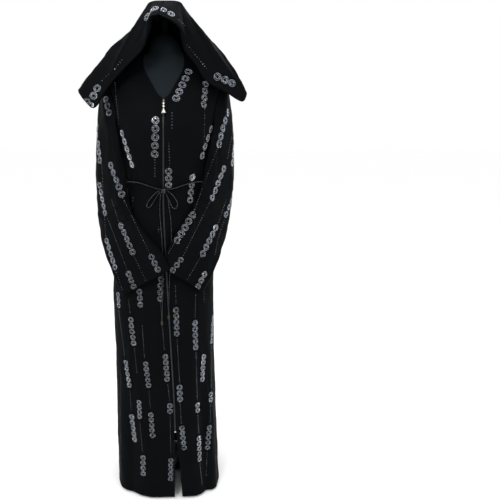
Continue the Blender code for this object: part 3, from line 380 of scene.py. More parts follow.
def crease_lift(first, second, creases):
    """Soft ridges and troughs on a piece. first and second are its two measures in metres.

    A crease runs from one place to another, bowed aside, with a half width and a height."""
    lift = np.zeros(first.shape)
    for start_a, start_b, end_a, end_b, bow, width, crest in creases:
        run_a, run_b = end_a - start_a, end_b - start_b
        length = math.hypot(run_a, run_b)
        share = ((first - start_a) * run_a + (second - start_b) * run_b) / length**2
        inside = np.clip(share, 0.0, 1.0)
        aside = ((first - start_a) * run_b - (second - start_b) * run_a) / length
        away = aside - bow * 4.0 * inside * (1.0 - inside)
        beyond = (share - inside) * length
        taper = smooth_step(inside / CREASE_ENDS) * smooth_step((1.0 - inside) / CREASE_ENDS)
        taper = taper * bell(beyond, width)
        local = width * (0.75 + 0.25 * np.sin(7.0 * inside + start_a * 90.0))
        shape = bell(away, local) * (1.0 + CREASE_LEAN * np.tanh(away / local))
        lift += crest * taper * shape
    return lift


def uneven(points, size, seed):
    """A gentle unevenness of the cloth, from -1 to 1, at a size in metres."""
    rng = np.random.default_rng(seed)
    value = np.zeros(points.shape[:-1])
    for turn in range(7):
        way = rng.normal(size=3)
        way *= rng.uniform(0.7, 1.5) / np.linalg.norm(way)
        phase = rng.uniform(0.0, math.tau)
        value += np.sin(points @ way * 2.0 * math.pi / size + phase)
    return value / 4.0


def grid_normals(grid, closed=False):
    """Normals of a grid of points, rows by columns."""
    if closed:
        across = np.roll(grid, -1, axis=1) - np.roll(grid, 1, axis=1)
    else:
        across = np.gradient(grid, axis=1)
    along = np.gradient(grid, axis=0)
    return unit(np.cross(across, along))


def through_rows(rows, count, dense=None):
    """A smooth surface through rows of points, with more rows, spaced evenly by length.

    dense is a stretch of rows and how many times closer the new rows lie there."""
    rows = np.asarray(rows, float)
    steps = np.maximum(np.linalg.norm(np.diff(rows, axis=0), axis=-1).mean(axis=1), 1e-5)
    place = np.concatenate([[0.0], np.cumsum(steps)])
    weights = np.ones(len(steps))
    if dense is not None:
        weights[dense[0]:dense[1]] = dense[2]
    weighted = np.concatenate([[0.0], np.cumsum(steps * weights)])
    wanted = np.interp(np.linspace(0.0, weighted[-1], count), weighted, place)
    return smooth_through(place, rows, wanted), wanted


def put(name, verts, faces, material, smooth=True):
    """A new mesh piece."""
    mesh = bpy.data.meshes.new(name)
    mesh.from_pydata([tuple(v) for v in verts], [], faces)
    mesh.polygons.foreach_set("use_smooth", [smooth] * len(mesh.polygons))
    mesh.materials.append(material)
    mesh.update()
    return place_in_scene(name, mesh)


def grid_faces(rows, columns, closed):
    """The faces of a grid of points, row after row."""
    faces = []
    for row in range(rows - 1):
        for column in range(columns if closed else columns - 1):
            low, after = row * columns, (column + 1) % columns
            faces.append((low + column, low + after, low + columns + after, low + columns + column))
    return faces


def grid_piece(name, grid, material, closed=False, shell=SHELL):
    """A thin cloth shell through a grid of points."""
    made = put(name, grid.reshape(-1, 3), grid_faces(*grid.shape[:2], closed), material)
    wall = made.modifiers.new("wall", "SOLIDIFY")
    wall.thickness, wall.offset = shell, 0.0
    return made


def closed_loft(name, rows, material):
    """A closed solid through rings, with flat ends."""
    rows = np.asarray(rows)
    count, sides = rows.shape[:2]
    faces = grid_faces(count, sides, True)
    faces += [tuple(range(sides - 1, -1, -1)), tuple(range((count - 1) * sides, count * sides))]
    return put(name, rows.reshape(-1, 3), faces, material)


def soften_edges(made, width, segments):
    """Small bevels on sharp edges, with even shading."""
    edge = made.modifiers.new("edge", "BEVEL")
    edge.width, edge.segments, edge.limit_method = width, segments, "ANGLE"
    made.modifiers.new("shade", "WEIGHTED_NORMAL")


def tube_piece(name, points, profile, twist, material):
    """A cord: a profile swept along points, turning as it goes, with flat ends."""
    points = [Vector(p) for p in points]
    last = len(points) - 1
    rings, normal, walked = [], None, 0.0
    for place, point in enumerate(points):
        way = (points[min(place + 1, last)] - points[max(place - 1, 0)]).normalized()
        if normal is None:
            normal = way.orthogonal().normalized()
        normal = (normal - way * normal.dot(way)).normalized()
        side = way.cross(normal)
        if place:
            walked += (point - points[place - 1]).length
        turn = walked * twist
        rings.append([tuple(point + (normal * math.cos(at + turn) + side * math.sin(at + turn)) * radius)
                      for at, radius in profile])
    return closed_loft(name, rings, material)


def curve_through(points, spacing):
    """Points at a spacing along a smooth curve through the route's own points."""
    points = [Vector(point) for point in points]
    dense = []
    for place in range(len(points) - 1):
        before = points[max(place - 1, 0)]
        start, end = points[place], points[place + 1]
        after = points[min(place + 2, len(points) - 1)]
        for step in range(12):
            share = step / 12.0
            dense.append(0.5 * (
                2.0 * start
                + (end - before) * share
                + (2.0 * before - 5.0 * start + 4.0 * end - after) * share**2
                + (3.0 * start - before - 3.0 * end + after) * share**3
            ))
    dense.append(points[-1])
    length = sum((b - a).length for a, b in zip(dense, dense[1:]))
    count = max(2, round(length / spacing))
    spaced, walked, wanted = [dense[0]], 0.0, 1
    for a, b in zip(dense, dense[1:]):
        run = (b - a).length
        while wanted < count and walked + run >= wanted * length / count:
            spaced.append(a.lerp(b, (wanted * length / count - walked) / run))
            wanted += 1
        walked += run
    spaced.append(dense[-1])
    return spaced


def new_material(name, color, roughness, metallic=0.0, specular=0.5):
    """A Principled material, its tree and its shader."""
    made = bpy.data.materials.new(name)
    made.use_nodes = True
    tree = made.node_tree
    shader = tree.nodes["Principled BSDF"]
    shader.inputs["Base Color"].default_value = (*color, 1.0)
    shader.inputs["Roughness"].default_value = roughness
    shader.inputs["Metallic"].default_value = metallic
    shader.inputs["Specular IOR Level"].default_value = specular
    made.diffuse_color = (*color, 1.0)
    return made, tree, shader


def add_node(tree, kind, values, links):
    """A shader node, with its inputs set to values and joined to links."""
    made = tree.nodes.new(kind)
    for socket, value in values.items():
        made.inputs[socket].default_value = value
    for socket, source in links.items():
        tree.links.new(source, made.inputs[socket])
    return made


def noise(tree, coordinates, scale, detail=3.0, rough=0.5):
    """A noise texture in metres of the piece's own space."""
    return add_node(tree, "ShaderNodeTexNoise", {"Scale": scale, "Detail": detail, "Roughness": rough},
                    {"Vector": coordinates}).outputs["Fac"]


def wave(tree, coordinates, scale, turn, distortion=1.0):
    """Fine bands at a turn about every axis."""
    mapping = add_node(tree, "ShaderNodeMapping", {"Rotation": turn}, {"Vector": coordinates})
    return add_node(tree, "ShaderNodeTexWave", {"Scale": scale, "Distortion": distortion, "Detail": 1.0},
                    {"Vector": mapping.outputs["Vector"]}).outputs["Fac"]


def ramp(tree, value, low, high, start=0.3, end=0.7, between_them=()):
    """A colour between two, by a value, with others on the way."""
    made = tree.nodes.new("ShaderNodeValToRGB")
    stops = made.color_ramp.elements
    stops[0].position, stops[0].color = start, (*low, 1.0)
    stops[1].position, stops[1].color = end, (*high, 1.0)
    for place, color in between_them:
        stops.new(place).color = (*color, 1.0)
    tree.links.new(value, made.inputs["Fac"])
    return made.outputs["Color"]


def between(tree, value, low, high):
    """A number between two, by a value."""
    ends = {"From Min": 0.3, "From Max": 0.7, "To Min": low, "To Max": high}
    return add_node(tree, "ShaderNodeMapRange", ends, {"Value": value}).outputs["Result"]


def add_values(tree, first, second, share):
    """first plus second times a share."""
    made = tree.nodes.new("ShaderNodeMath")
    made.operation = "MULTIPLY_ADD"
    made.inputs[1].default_value = share
    tree.links.new(second, made.inputs[0])
    tree.links.new(first, made.inputs[2])
    return made.outputs["Value"]


def bump(tree, shader, value, strength, distance):
    """Relief from a value."""
    made = add_node(tree, "ShaderNodeBump", {"Strength": strength, "Distance": distance}, {"Height": value})
    tree.links.new(made.outputs["Normal"], shader.inputs["Normal"])


def object_space(tree):
    """The piece's own coordinates, in metres."""
    return tree.nodes.new("ShaderNodeTexCoord").outputs["Object"]


def cloth_material(name, dark, light, roughness, grain, sheen, specular):
    """A crepe cloth: fine crossing threads, a dry grain and slow changes of tone."""
    made, tree, shader = new_material(name, light, roughness[0], 0.0, specular)
    space = object_space(tree)
    slow = noise(tree, space, 5.0, 4.0, 0.6)
    tree.links.new(ramp(tree, slow, dark, light), shader.inputs["Base Color"])
    tree.links.new(between(tree, slow, *roughness), shader.inputs["Roughness"])
    shader.inputs["Sheen Weight"].default_value = sheen
    shader.inputs["Sheen Roughness"].default_value = 0.45
    threads = add_values(
        tree, wave(tree, space, 430.0, (0.0, 0.4, 0.8), 2.0),
        wave(tree, space, 430.0, (0.5, 0.9, -0.8), 2.0), 1.0)
    relief = add_values(tree, threads, noise(tree, space, grain, 3.0, 0.7), 1.6)
    bump(tree, shader, relief, 0.35, 0.0002)
    return made


def metal_material(name, color, worn, roughness, scale=260.0):
    """A plated metal with fine scuffs and duller spots."""
    made, tree, shader = new_material(name, color, roughness, 1.0)
    space = object_space(tree)
    spots = noise(tree, space, scale, 4.0, 0.6)
    tree.links.new(ramp(tree, spots, worn, color, 0.35, 0.6), shader.inputs["Base Color"])
    tree.links.new(between(tree, spots, roughness * 1.8, roughness), shader.inputs["Roughness"])
    bump(tree, shader, noise(tree, space, scale * 6.0, 2.0), 0.08, 0.0001)
    return made


def stone_material(name, dull, bright, coat):
    """Cut stones with a silver back: no two alike, and each disc with a tint of its own."""
    made, tree, shader = new_material(name, bright, 0.14, 0.8)
    space = object_space(tree)
    each = ramp(tree, noise(tree, space, 330.0, 1.0), dull, bright, 0.34, 0.64)
    tint = ramp(tree, noise(tree, space, 34.0, 1.0), *STONE_TINTS[0], 0.34, 0.66, STONE_TINTS[1])
    mixed = tree.nodes.new("ShaderNodeMix")
    mixed.data_type = "RGBA"
    mixed.blend_type = "MULTIPLY"
    mixed.inputs["Factor"].default_value = 1.0
    tree.links.new(each, mixed.inputs["A"])
    tree.links.new(tint, mixed.inputs["B"])
    tree.links.new(mixed.outputs["Result"], shader.inputs["Base Color"])
    tree.links.new(between(tree, noise(tree, space, 600.0, 2.0), 0.16, 0.40), shader.inputs["Roughness"])
    shader.inputs["Coat Weight"].default_value = coat
    shader.inputs["Coat Roughness"].default_value = 0.05
    return made


# Tints of the discs: warm and cool ends, and those between
STONE_TINTS = (
    ((1.0, 0.92, 0.88), (0.82, 0.88, 1.0)),
    ((0.43, (0.97, 0.98, 1.0)), (0.50, (0.90, 0.98, 0.96)), (0.57, (0.92, 0.92, 1.0))),
)
BLACK = cloth_material("abaya_crepe", (0.0008, 0.0012, 0.0017), (0.0016, 0.0023, 0.0030),
                       (0.62, 0.76), 1500.0, 0.005, 0.03)
CORD = cloth_material("belt_satin", (0.0014, 0.0018, 0.0022), (0.0036, 0.0042, 0.0050),
                      (0.40, 0.54), 2400.0, 0.01, 0.10)
TAPE = cloth_material("tape_twill", (0.0020, 0.0024, 0.0028), (0.0045, 0.0050, 0.0058),
                      (0.60, 0.75), 2400.0, 0.01, 0.06)
JERSEY = cloth_material("form_jersey", (0.0070, 0.0100, 0.0120), (0.0100, 0.0140, 0.0165),
                        (0.60, 0.72), 1100.0, 0.01, 0.05)
GOLD = metal_material("gold_plate", (0.95, 0.91, 0.82), (0.74, 0.66, 0.50), 0.16)
# The gold plate darkened to stand for shade: painted shade, used for the zip's slider and the belt's tips
GOLD_PAINTED_SHADE = metal_material("gold_plate_painted_shade", (0.070, 0.060, 0.043), (0.035, 0.030, 0.021), 0.30)
TEETH = metal_material("zip_gunmetal", (0.075, 0.079, 0.083), (0.035, 0.037, 0.040), 0.32)
STEEL = metal_material("stand_paint", (0.030, 0.032, 0.035), (0.018, 0.019, 0.021), 0.34)
STONES = stone_material("cut_stones", (0.085, 0.090, 0.100), (0.84, 0.87, 0.93), 0.25)
SEEDS = stone_material("seed_stones", (0.05, 0.05, 0.055), (0.36, 0.36, 0.37), 0.2)


# Creases of the fronts and the back. The first measure is the way round from the front's middle,
# the second the height, both in metres: start, end, bow, half width, height of the ridge.
ROUND = 0.155            # metres round the body for a radian
BODY_CREASES = (
    (-0.130, 1.300, -0.060, 1.150, 0.006, 0.011, 0.0022),
    (-0.160, 1.260, -0.095, 1.140, 0.004, 0.009, -0.0020),
    (-0.085, 1.235, -0.040, 1.140, -0.005, 0.008, 0.0016),
    (0.125, 1.310, 0.070, 1.150, -0.005, 0.011, 0.0022),
    (0.165, 1.250, 0.100, 1.145, 0.004, 0.010, -0.0021),
    (0.080, 1.220, 0.036, 1.142, 0.005, 0.007, 0.0015),
    (0.060, 1.350, 0.150, 1.330, 0.010, 0.012, -0.0012),
    (-0.055, 1.345, -0.150, 1.335, -0.010, 0.012, -0.0012),
    (-0.100, 1.100, -0.120, 0.940, 0.004, 0.009, 0.0020),
    (-0.060, 1.095, -0.072, 0.960, -0.003, 0.007, -0.0017),
    (0.055, 1.098, 0.064, 0.930, 0.004, 0.008, 0.0019),
    (0.100, 1.100, 0.122, 0.900, -0.004, 0.010, -0.0021),
    (0.150, 1.090, 0.170, 0.800, 0.006, 0.012, 0.0024),
    (-0.150, 1.090, -0.172, 0.820, -0.006, 0.012, 0.0024),
    (-0.105, 0.720, -0.118, 0.330, 0.006, 0.010, 0.0026),
    (-0.040, 0.640, -0.052, 0.200, -0.004, 0.009, -0.0022),
    (0.020, 0.560, 0.012, 0.180, 0.003, 0.008, 0.0018),
    (0.112, 0.700, 0.126, 0.240, -0.007, 0.010, 0.0026),
    (0.150, 0.620, 0.172, 0.140, 0.005, 0.011, -0.0026),
    (-0.168, 0.560, -0.184, 0.120, 0.005, 0.011, -0.0024),
    (0.070, 0.400, 0.082, 0.060, 0.004, 0.008, 0.0020),
    (-0.082, 0.380, -0.090, 0.050, -0.004, 0.008, 0.0020),
    (0.300, 1.330, 0.380, 1.160, 0.008, 0.012, 0.0020),
    (0.420, 1.360, 0.430, 1.150, -0.006, 0.010, -0.0018),
    (0.500, 1.350, 0.470, 1.150, 0.006, 0.011, 0.0019),
    (0.640, 1.320, 0.560, 1.160, -0.008, 0.012, 0.0020),
    (0.330, 1.090, 0.320, 0.700, 0.006, 0.012, 0.0024),
    (0.400, 1.095, 0.395, 0.620, -0.005, 0.011, -0.0024),
    (0.480, 1.100, 0.485, 0.560, 0.006, 0.013, 0.0028),
    (0.560, 1.090, 0.575, 0.640, -0.006, 0.012, -0.0022),
    (0.620, 1.092, 0.640, 0.720, 0.004, 0.011, 0.0022),
    (0.350, 0.560, 0.345, 0.100, 0.006, 0.011, 0.0030),
    (0.450, 0.460, 0.458, 0.060, -0.005, 0.010, -0.0028),
    (0.540, 0.520, 0.552, 0.080, 0.005, 0.012, 0.0028),
    (0.300, 0.840, 0.360, 0.800, 0.004, 0.010, 0.0018),
    (0.600, 0.860, 0.545, 0.812, -0.004, 0.010, 0.0018),
)
# Small gathers above and below the belt: way round, length above, length below, height.
GATHERS = (
    (-0.185, 0.030, 0.060, 0.0010), (-0.162, 0.045, 0.036, -0.0010), (-0.143, 0.026, 0.072, 0.0013),
    (-0.120, 0.052, 0.044, 0.0011), (-0.097, 0.030, 0.028, -0.0012), (-0.076, 0.040, 0.058, 0.0012),
    (-0.052, 0.024, 0.034, 0.0010), (-0.033, 0.034, 0.048, -0.0009), (0.028, 0.030, 0.052, 0.0010),
    (0.049, 0.042, 0.030, -0.0011), (0.071, 0.028, 0.064, 0.0013), (0.094, 0.050, 0.040, 0.0011),
    (0.118, 0.026, 0.052, -0.0012), (0.141, 0.044, 0.074, 0.0013), (0.167, 0.030, 0.038, 0.0010),
    (0.188, 0.038, 0.056, -0.0010), (0.290, 0.034, 0.066, 0.0012), (0.316, 0.050, 0.040, -0.0012),
    (0.345, 0.028, 0.080, 0.0014), (0.377, 0.046, 0.052, 0.0012), (0.404, 0.030, 0.036, -0.0013),
    (0.436, 0.052, 0.088, 0.0014), (0.462, 0.030, 0.044, 0.0010), (0.497, 0.044, 0.070, -0.0013),
    (0.531, 0.028, 0.046, 0.0013), (0.560, 0.048, 0.082, 0.0014), (0.594, 0.034, 0.040, -0.0011),
    (0.624, 0.040, 0.062, 0.0012), (0.655, 0.028, 0.050, 0.0010),
)
GATHER_WIDTH = 0.0048
FRONT_COLUMNS, BACK_COLUMNS = 54, 101
# The cloth's unevenness: height, size and seed of each part
BODY_UNEVEN = ((0.0011, 0.085, 3), (0.0005, 0.034, 4))
SLEEVE_UNEVEN = ((0.0012, 0.075, 7), (0.0006, 0.03, 8))
HOOD_UNEVEN = ((0.0012, 0.08, 11), (0.0005, 0.03, 12))
TAILS_HALF = 0.034       # the cloth under the tails and the bow stays even this far aside
BORDER = 0.030           # this much of each front's edge has its own close columns
BORDER_STEPS = (0.0, 0.04, 0.12, 0.24, 0.33, 0.37, 0.40, 0.43, 0.47, 0.58, 0.72, 0.86, 1.0)
FACING = 0.40            # the facing's seam, as a share of the border
HEM_FOLD = 0.022         # the hem's stitching above its edge
PANEL_HEIGHTS = np.unique(np.round(np.concatenate([
    np.linspace(HEM_Z, NECK_TOP_Z, 236),
    HEM_Z + np.array([0.001, 0.003, 0.012, 0.018, 0.0205, 0.022, 0.0235, 0.026]),
    np.linspace(ZIP_TOP_Z, ZIP_TOP_Z + 0.014, 9),
    ZIP_END_Z + np.array([-0.002, 0.0, 0.002]),
]), 5))


def belt_height(angle):
    """The belt's height round the waist."""
    away = np.abs(wrapped(angle))
    rise = smooth_step(away / 40.0) * (1.0 - smooth_step((away - 45.0) / 55.0))
    return KNOT_Z + BELT_SIDE_RISE * rise


def gathered():
    """The belt's gathers as creases, above and below the belt."""
    rows = []
    for place, above, below, crest in GATHERS:
        level = float(belt_height(np.degrees(place / ROUND)))
        lean = 0.12 * math.sin(place * 70.0)
        rows.append((place, level + 0.004, place + lean * above, level + 0.012 + above,
                     0.001, GATHER_WIDTH, crest))
        rows.append((place, level - 0.004, place - lean * below, level - 0.012 - below,
                     -0.001, GATHER_WIDTH, crest))
    return rows


def armhole_quiet(angle, height):
    """0 at the armholes' edges, where a sleeve's head lies on the cloth, and 1 away from them."""
    from_side = np.abs(np.abs(wrapped(angle)) - 90.0)
    band = smooth_step((height - ARMHOLE_LOW + 0.030) / 0.020)
    inside = smooth_step((from_side - armhole_half(height) - 3.0) / 11.0)
    return 1.0 - band * (1.0 - inside)


def tails_quiet(angle, height):
    """0 under the belt's tails and bow, and 1 away from them."""
    across = np.radians(wrapped(angle)) * ROUND
    band = smooth_step((height - 0.66) / 0.02) * (1.0 - smooth_step((height - 1.13) / 0.02))
    return 1.0 - band * np.exp(-((across / TAILS_HALF) ** 4))


def panel_lift(angle, height):
    """How far a panel's creases and unevenness lift it."""
    flat = body_flat(angle, height)
    first = np.radians(angle) * ROUND
    lift = crease_lift(first, height, BODY_CREASES + tuple(gathered()))
    lift += sum(crest * uneven(flat, size, seed) for crest, size, seed in BODY_UNEVEN)
    quiet = 1.0 - smooth_step((height - 1.375) / 0.05)
    at_belt = 1.0 - bell(height - belt_height(angle), 0.006)
    return lift * quiet * at_belt * armhole_quiet(angle, height) * tails_quiet(angle, height)


def hem_lift(height):
    """The turned hem: a little thick, with a stitched line."""
    above = height - HEM_Z
    edge = 0.0004 * (1.0 - smooth_step((above - HEM_FOLD) / 0.003))
    return edge - STITCH_DEPTH * bell(above - HEM_FOLD, 0.0013)


def front_grid(side):
    """A front's points, from the zip or neck edge to the side."""
    height = PANEL_HEIGHTS[:, None]
    middle = read_rows(BODY, ZIP_X, height)
    open_half = np.where(height > ZIP_TOP_Z, read_rows(NECK_EDGE, 1, height), ZIP_GAP)
    if side > 0:
        open_half = open_half + SLIT_OPEN * np.maximum(ZIP_END_Z - height, 0.0) / (ZIP_END_Z - HEM_Z)
    edge = side * angle_at(middle + side * open_half, height)
    border = side * angle_at(middle + side * (open_half + BORDER), height)
    last = side_edge(height, False)
    border = np.minimum(border, edge + 0.5 * (last - edge))
    steps = np.array(BORDER_STEPS)[None, :]
    inner = edge + (border - edge) * steps
    outer = border + (last - border) * np.linspace(0.0, 1.0, FRONT_COLUMNS)[None, 1:]
    angle = side * np.concatenate([inner, outer], axis=1)
    near = np.concatenate([np.broadcast_to(steps, inner.shape), np.full(outer.shape, 2.0)], axis=1)
    height = np.broadcast_to(height, angle.shape)
    lift = panel_lift(angle, height) * smooth_step(near / 0.35)
    lift = lift - STITCH_DEPTH * bell(near - FACING, 0.035) + hem_lift(height)
    return body_point(angle, height, lift)


def back_grid():
    """The back's points, from side to side."""
    height = PANEL_HEIGHTS[:, None]
    edge = side_edge(height, True)
    angle = 180.0 + edge * np.linspace(-1.0, 1.0, BACK_COLUMNS)[None, :]
    height = np.broadcast_to(height, angle.shape)
    grid = body_point(angle, height, panel_lift(angle, height) + hem_lift(height))
    low = 1.0 - smooth_step((height - HEM_Z) / 0.10)
    grid[..., 2] -= BACK_TRAIL * low * smooth_step((edge - np.abs(angle - 180.0)) / 30.0)
    return grid


SLEEVE_SIDES = 64
SLEEVE_ROWS = 190
SLEEVE_ROUND = 0.26
CUFF_STITCH = (0.020, 0.0007, 0.0022)   # from the cuff's edge, depth, half width
SLEEVE_FLAT = (0.62, 0.66)   # powers that flatten its section: through it and across it
SLEEVE_LESS = (0.96, 1.0)    # shares of its size that are left then
# How much further the visual sleeve's inner edge reaches, row by row
SLEEVE_REACH = {
    1: (0.001, 0.005, 0.009, 0.011, 0.014, 0.021, 0.013),
    -1: (0.0, 0.002, 0.003, 0.004, 0.008, 0.017, 0.011),
}
# Creases of a sleeve: the way round from its outer side towards the front, the way down from its
# head, both in metres.
SLEEVE_CREASES = (
    (0.066, 0.020, 0.030, 0.200, 0.008, 0.010, 0.0026),
    (0.040, 0.060, 0.012, 0.300, -0.006, 0.010, -0.0024),
    (-0.010, 0.080, -0.030, 0.280, 0.005, 0.012, 0.0022),
    (0.085, 0.090, 0.052, 0.250, -0.005, 0.009, -0.0022),
    (0.078, 0.262, 0.006, 0.292, 0.006, 0.0080, 0.0036),
    (0.082, 0.286, -0.004, 0.328, -0.006, 0.0075, -0.0034),
    (0.080, 0.306, 0.012, 0.350, 0.005, 0.0080, 0.0038),
    (0.074, 0.330, -0.010, 0.372, 0.006, 0.0085, -0.0030),
    (0.070, 0.348, 0.018, 0.404, -0.004, 0.0080, 0.0032),
    (-0.050, 0.300, 0.000, 0.360, 0.006, 0.0110, 0.0026),
    (0.040, 0.380, 0.028, 0.590, 0.007, 0.0100, 0.0030),
    (0.016, 0.420, 0.004, 0.600, -0.006, 0.0100, -0.0026),
    (-0.020, 0.400, -0.018, 0.560, 0.005, 0.0110, 0.0026),
    (0.058, 0.440, 0.054, 0.600, -0.004, 0.0090, -0.0026),
    (-0.048, 0.440, -0.050, 0.600, 0.004, 0.0100, 0.0022),
    (0.130, 0.300, 0.100, 0.380, 0.004, 0.0100, -0.0020),
    (-0.095, 0.120, -0.090, 0.330, 0.006, 0.0120, 0.0022),
)


def stand_off(points, clear):
    """Move points out until they are clear of the body's plain section."""
    height = np.minimum(points[..., 2], NECK_TOP_Z)
    power = read_rows(BODY, SQUARE, height)
    middle = read_rows(BODY, MIDDLE, height)
    half = read_rows(BODY, HALF, height) + clear
    depth = np.where(points[..., 1] < 0.0, read_rows(BODY, FRONT, height),
                     read_rows(BODY, BACK, height)) + clear
    x, y = points[..., 0] - middle, points[..., 1]
    size = (np.abs(x / half) ** power + np.abs(y / depth) ** power) ** (1.0 / power)
    grow = np.where((size >= 1.0) | (size < 0.01), 1.0, 1.0 / np.maximum(size, 0.01))
    return np.stack([middle + x * grow, y * grow, points[..., 2]], axis=-1)


def armhole_ring(side):
    """The sleeve's head, lapping over the armhole's edge."""
    turn = around(SLEEVE_SIDES)
    middle = (ARMHOLE_HIGH + ARMHOLE_LOW) / 2.0
    height = middle + ((ARMHOLE_HIGH - ARMHOLE_LOW) / 2.0 + SLEEVE_LAP) * np.cos(turn)
    spread = (ARMHOLE_ANGLE + math.degrees(SLEEVE_LAP / 0.16)) * np.sin(turn)
    lift = SHOULDER_LIFT * smooth_step((height - 1.385) / 0.04)
    return body_point(side * (90.0 - spread), height, WALL + HEAD_GAP + lift)


def sleeve_rings(side, table):
    """The sleeve's rings from its head to the cuff."""
    turn = around(SLEEVE_SIDES)
    lows = [np.array(row[0]) for row in table]
    highs = [np.array(row[1]) for row in table]
    highs = [high + unit(high - low) * reach for low, high, reach in zip(lows, highs, SLEEVE_REACH[side])]
    middles = [(low + high) / 2.0 for low, high in zip(lows, highs)]
    lower = []
    for place, (low, high, thick) in enumerate(zip(lows, highs, [row[2] for row in table])):
        way = middles[min(place + 1, len(table) - 1)] - middles[max(place - 1, 0)]
        long_half = (high - low) / 2.0
        out = unit(np.cross(long_half, way))
        if out[0] * side < 0.0:
            out = -out
        deep = SLEEVE_LESS[0] * np.sign(np.cos(turn)) * np.abs(np.cos(turn)) ** SLEEVE_FLAT[0]
        wide = SLEEVE_LESS[1] * np.sign(np.sin(turn)) * np.abs(np.sin(turn)) ** SLEEVE_FLAT[1]
        ring = middles[place] + np.outer(deep, out * thick) + np.outer(wide, long_half)
        lower.append(stand_off(ring, SLEEVE_CLEAR))
    head = armhole_ring(side)
    rows = [head]
    top_share = np.maximum(np.cos(turn), CAP_LEAST)[:, None]
    drop = (head[:, 2] - lower[0][:, 2])[:, None]
    aside, down = np.array([1.0, 0.0, 0.0]), np.array([0.0, 0.0, 1.0])
    near = head + aside * side * CAP_SWELL * top_share - down * CAP_DROPS[0] * drop
    far = lower[0] + down * CAP_DROPS[1] * drop
    for step in range(1, CAP_STEPS):
        share = step / CAP_STEPS
        row = (head * (1 - share) ** 3 + near * 3 * share * (1 - share) ** 2
               + far * 3 * share**2 * (1 - share) + lower[0] * share**3)
        rows.append(stand_off(row, WALL + CAP_CLEAR[0] + CAP_CLEAR[1] * float(smooth_step(share * 2.0))))
    for ring, below in zip(lower, lower[1:]):
        rows.append(ring)
        rows.append(stand_off((ring + below) / 2.0, SLEEVE_CLEAR))
    rows.append(lower[-1])
    return rows


def sleeve_grid(side, table):
    """A sleeve's points, with its creases and the cuff's turned edge."""
    grid, along = through_rows(sleeve_rings(side, table), SLEEVE_ROWS)
    along = np.broadcast_to(along[:, None], grid.shape[:2])
    normal = grid_normals(grid, closed=True)
    away = grid - grid.mean(axis=1, keepdims=True)
    if (normal * away).sum() < 0.0:
        normal = -normal
    share = np.linspace(0.0, 1.0, SLEEVE_SIDES, endpoint=False)
    first = np.broadcast_to((((share + 0.5) % 1.0) - 0.5) * SLEEVE_ROUND, grid.shape[:2])
    lift = crease_lift(first, along, SLEEVE_CREASES)
    lift += sum(crest * uneven(grid, size, seed) for crest, size, seed in SLEEVE_UNEVEN)
    to_cuff = along[-1, 0] - along
    lift *= smooth_step(along / 0.03) * (0.35 + 0.65 * smooth_step(to_cuff / 0.03))
    lift = lift - CUFF_STITCH[1] * bell(to_cuff - CUFF_STITCH[0], CUFF_STITCH[2])
    grid = grid + normal * lift[..., None]
    clear = WALL + HEAD_GAP + (SLEEVE_CLEAR - WALL - HEAD_GAP) * smooth_step(along / 0.10)
    return stand_off(grid, clear)


HOOD_COLUMNS = 96
# Rows of a half: on the crown, down the side, and on the cloth turned under
CROWN_SHARES = (0.0, 0.3, 0.6, 0.9, 0.985)
HOOD_SHARES = (0.015, 0.06, 0.12, 0.2, 0.3, 0.4, 0.5, 0.6, 0.7, 0.8, 0.9, 0.97, 1.0)
UNDER_SHARES = (0.35, 0.68, 1.0)
EDGE_CLOSER = 2.6        # how many times closer the rows lie at the turned edge
HOOD_DENSE_ROWS = 128
HOOD_LENGTH = 0.21       # metres from the crown's edge to the hood's edge, about
HOOD_WAY = 0.50          # metres round half of the hood, about
HOOD_BORDER = 0.016      # the border's seam, in from the opening's edge
# Creases of a half of the hood: the way round from the tip, the way down from the crown.
HOOD_CREASES = {
    1: (
        (0.165, 0.030, 0.215, 0.195, 0.010, 0.0090, -0.0040),
        (0.190, 0.020, 0.262, 0.190, -0.012, 0.0120, 0.0036),
        (0.230, 0.060, 0.330, 0.150, 0.014, 0.0100, -0.0036),
        (0.120, 0.060, 0.170, 0.180, -0.006, 0.0080, 0.0026),
        (0.255, 0.186, 0.420, 0.176, 0.004, 0.0050, 0.0034),
        (0.260, 0.172, 0.455, 0.160, -0.005, 0.0046, -0.0034),
        (0.270, 0.158, 0.430, 0.142, 0.006, 0.0052, 0.0030),
        (0.300, 0.140, 0.470, 0.124, -0.004, 0.0056, -0.0026),
        (0.330, 0.030, 0.400, 0.120, 0.010, 0.0110, 0.0032),
        (0.400, 0.040, 0.470, 0.150, -0.008, 0.0110, -0.0030),
        (0.280, 0.015, 0.380, 0.035, 0.004, 0.0070, -0.0024),
    ),
    -1: (
        (0.150, 0.040, 0.205, 0.190, 0.008, 0.0100, 0.0036),
        (0.185, 0.030, 0.245, 0.185, -0.010, 0.0090, -0.0036),
        (0.225, 0.050, 0.300, 0.160, 0.010, 0.0120, 0.0034),
        (0.105, 0.080, 0.140, 0.180, -0.005, 0.0080, -0.0026),
        (0.265, 0.188, 0.430, 0.178, -0.004, 0.0050, 0.0032),
        (0.270, 0.172, 0.440, 0.164, 0.004, 0.0046, -0.0032),
        (0.280, 0.156, 0.450, 0.146, -0.006, 0.0054, 0.0028),
        (0.340, 0.040, 0.410, 0.130, -0.008, 0.0120, -0.0030),
        (0.410, 0.030, 0.460, 0.140, 0.008, 0.0110, 0.0030),
        (0.290, 0.020, 0.400, 0.045, -0.004, 0.0070, 0.0022),
    ),
}


def table_point(table, place, column):
    """Points read from a column of points."""
    return np.stack([read_rows([(row[0], row[column][axis]) for row in table], 1, place)
                     for axis in range(3)], axis=-1)


def crown_point(turn, share, side):
    """Points of the hood's flat crown."""
    power = 2.0 / CROWN_SQUARE
    across = side * CROWN_HALF_X * share * np.maximum(np.sin(turn), 0.0) ** power
    along = -CROWN_HALF_Y * share * np.sign(np.cos(turn)) * np.abs(np.cos(turn)) ** power
    return np.stack(np.broadcast_arrays(across, along, CROWN_Z + CROWN_SLOPE * along), axis=-1)


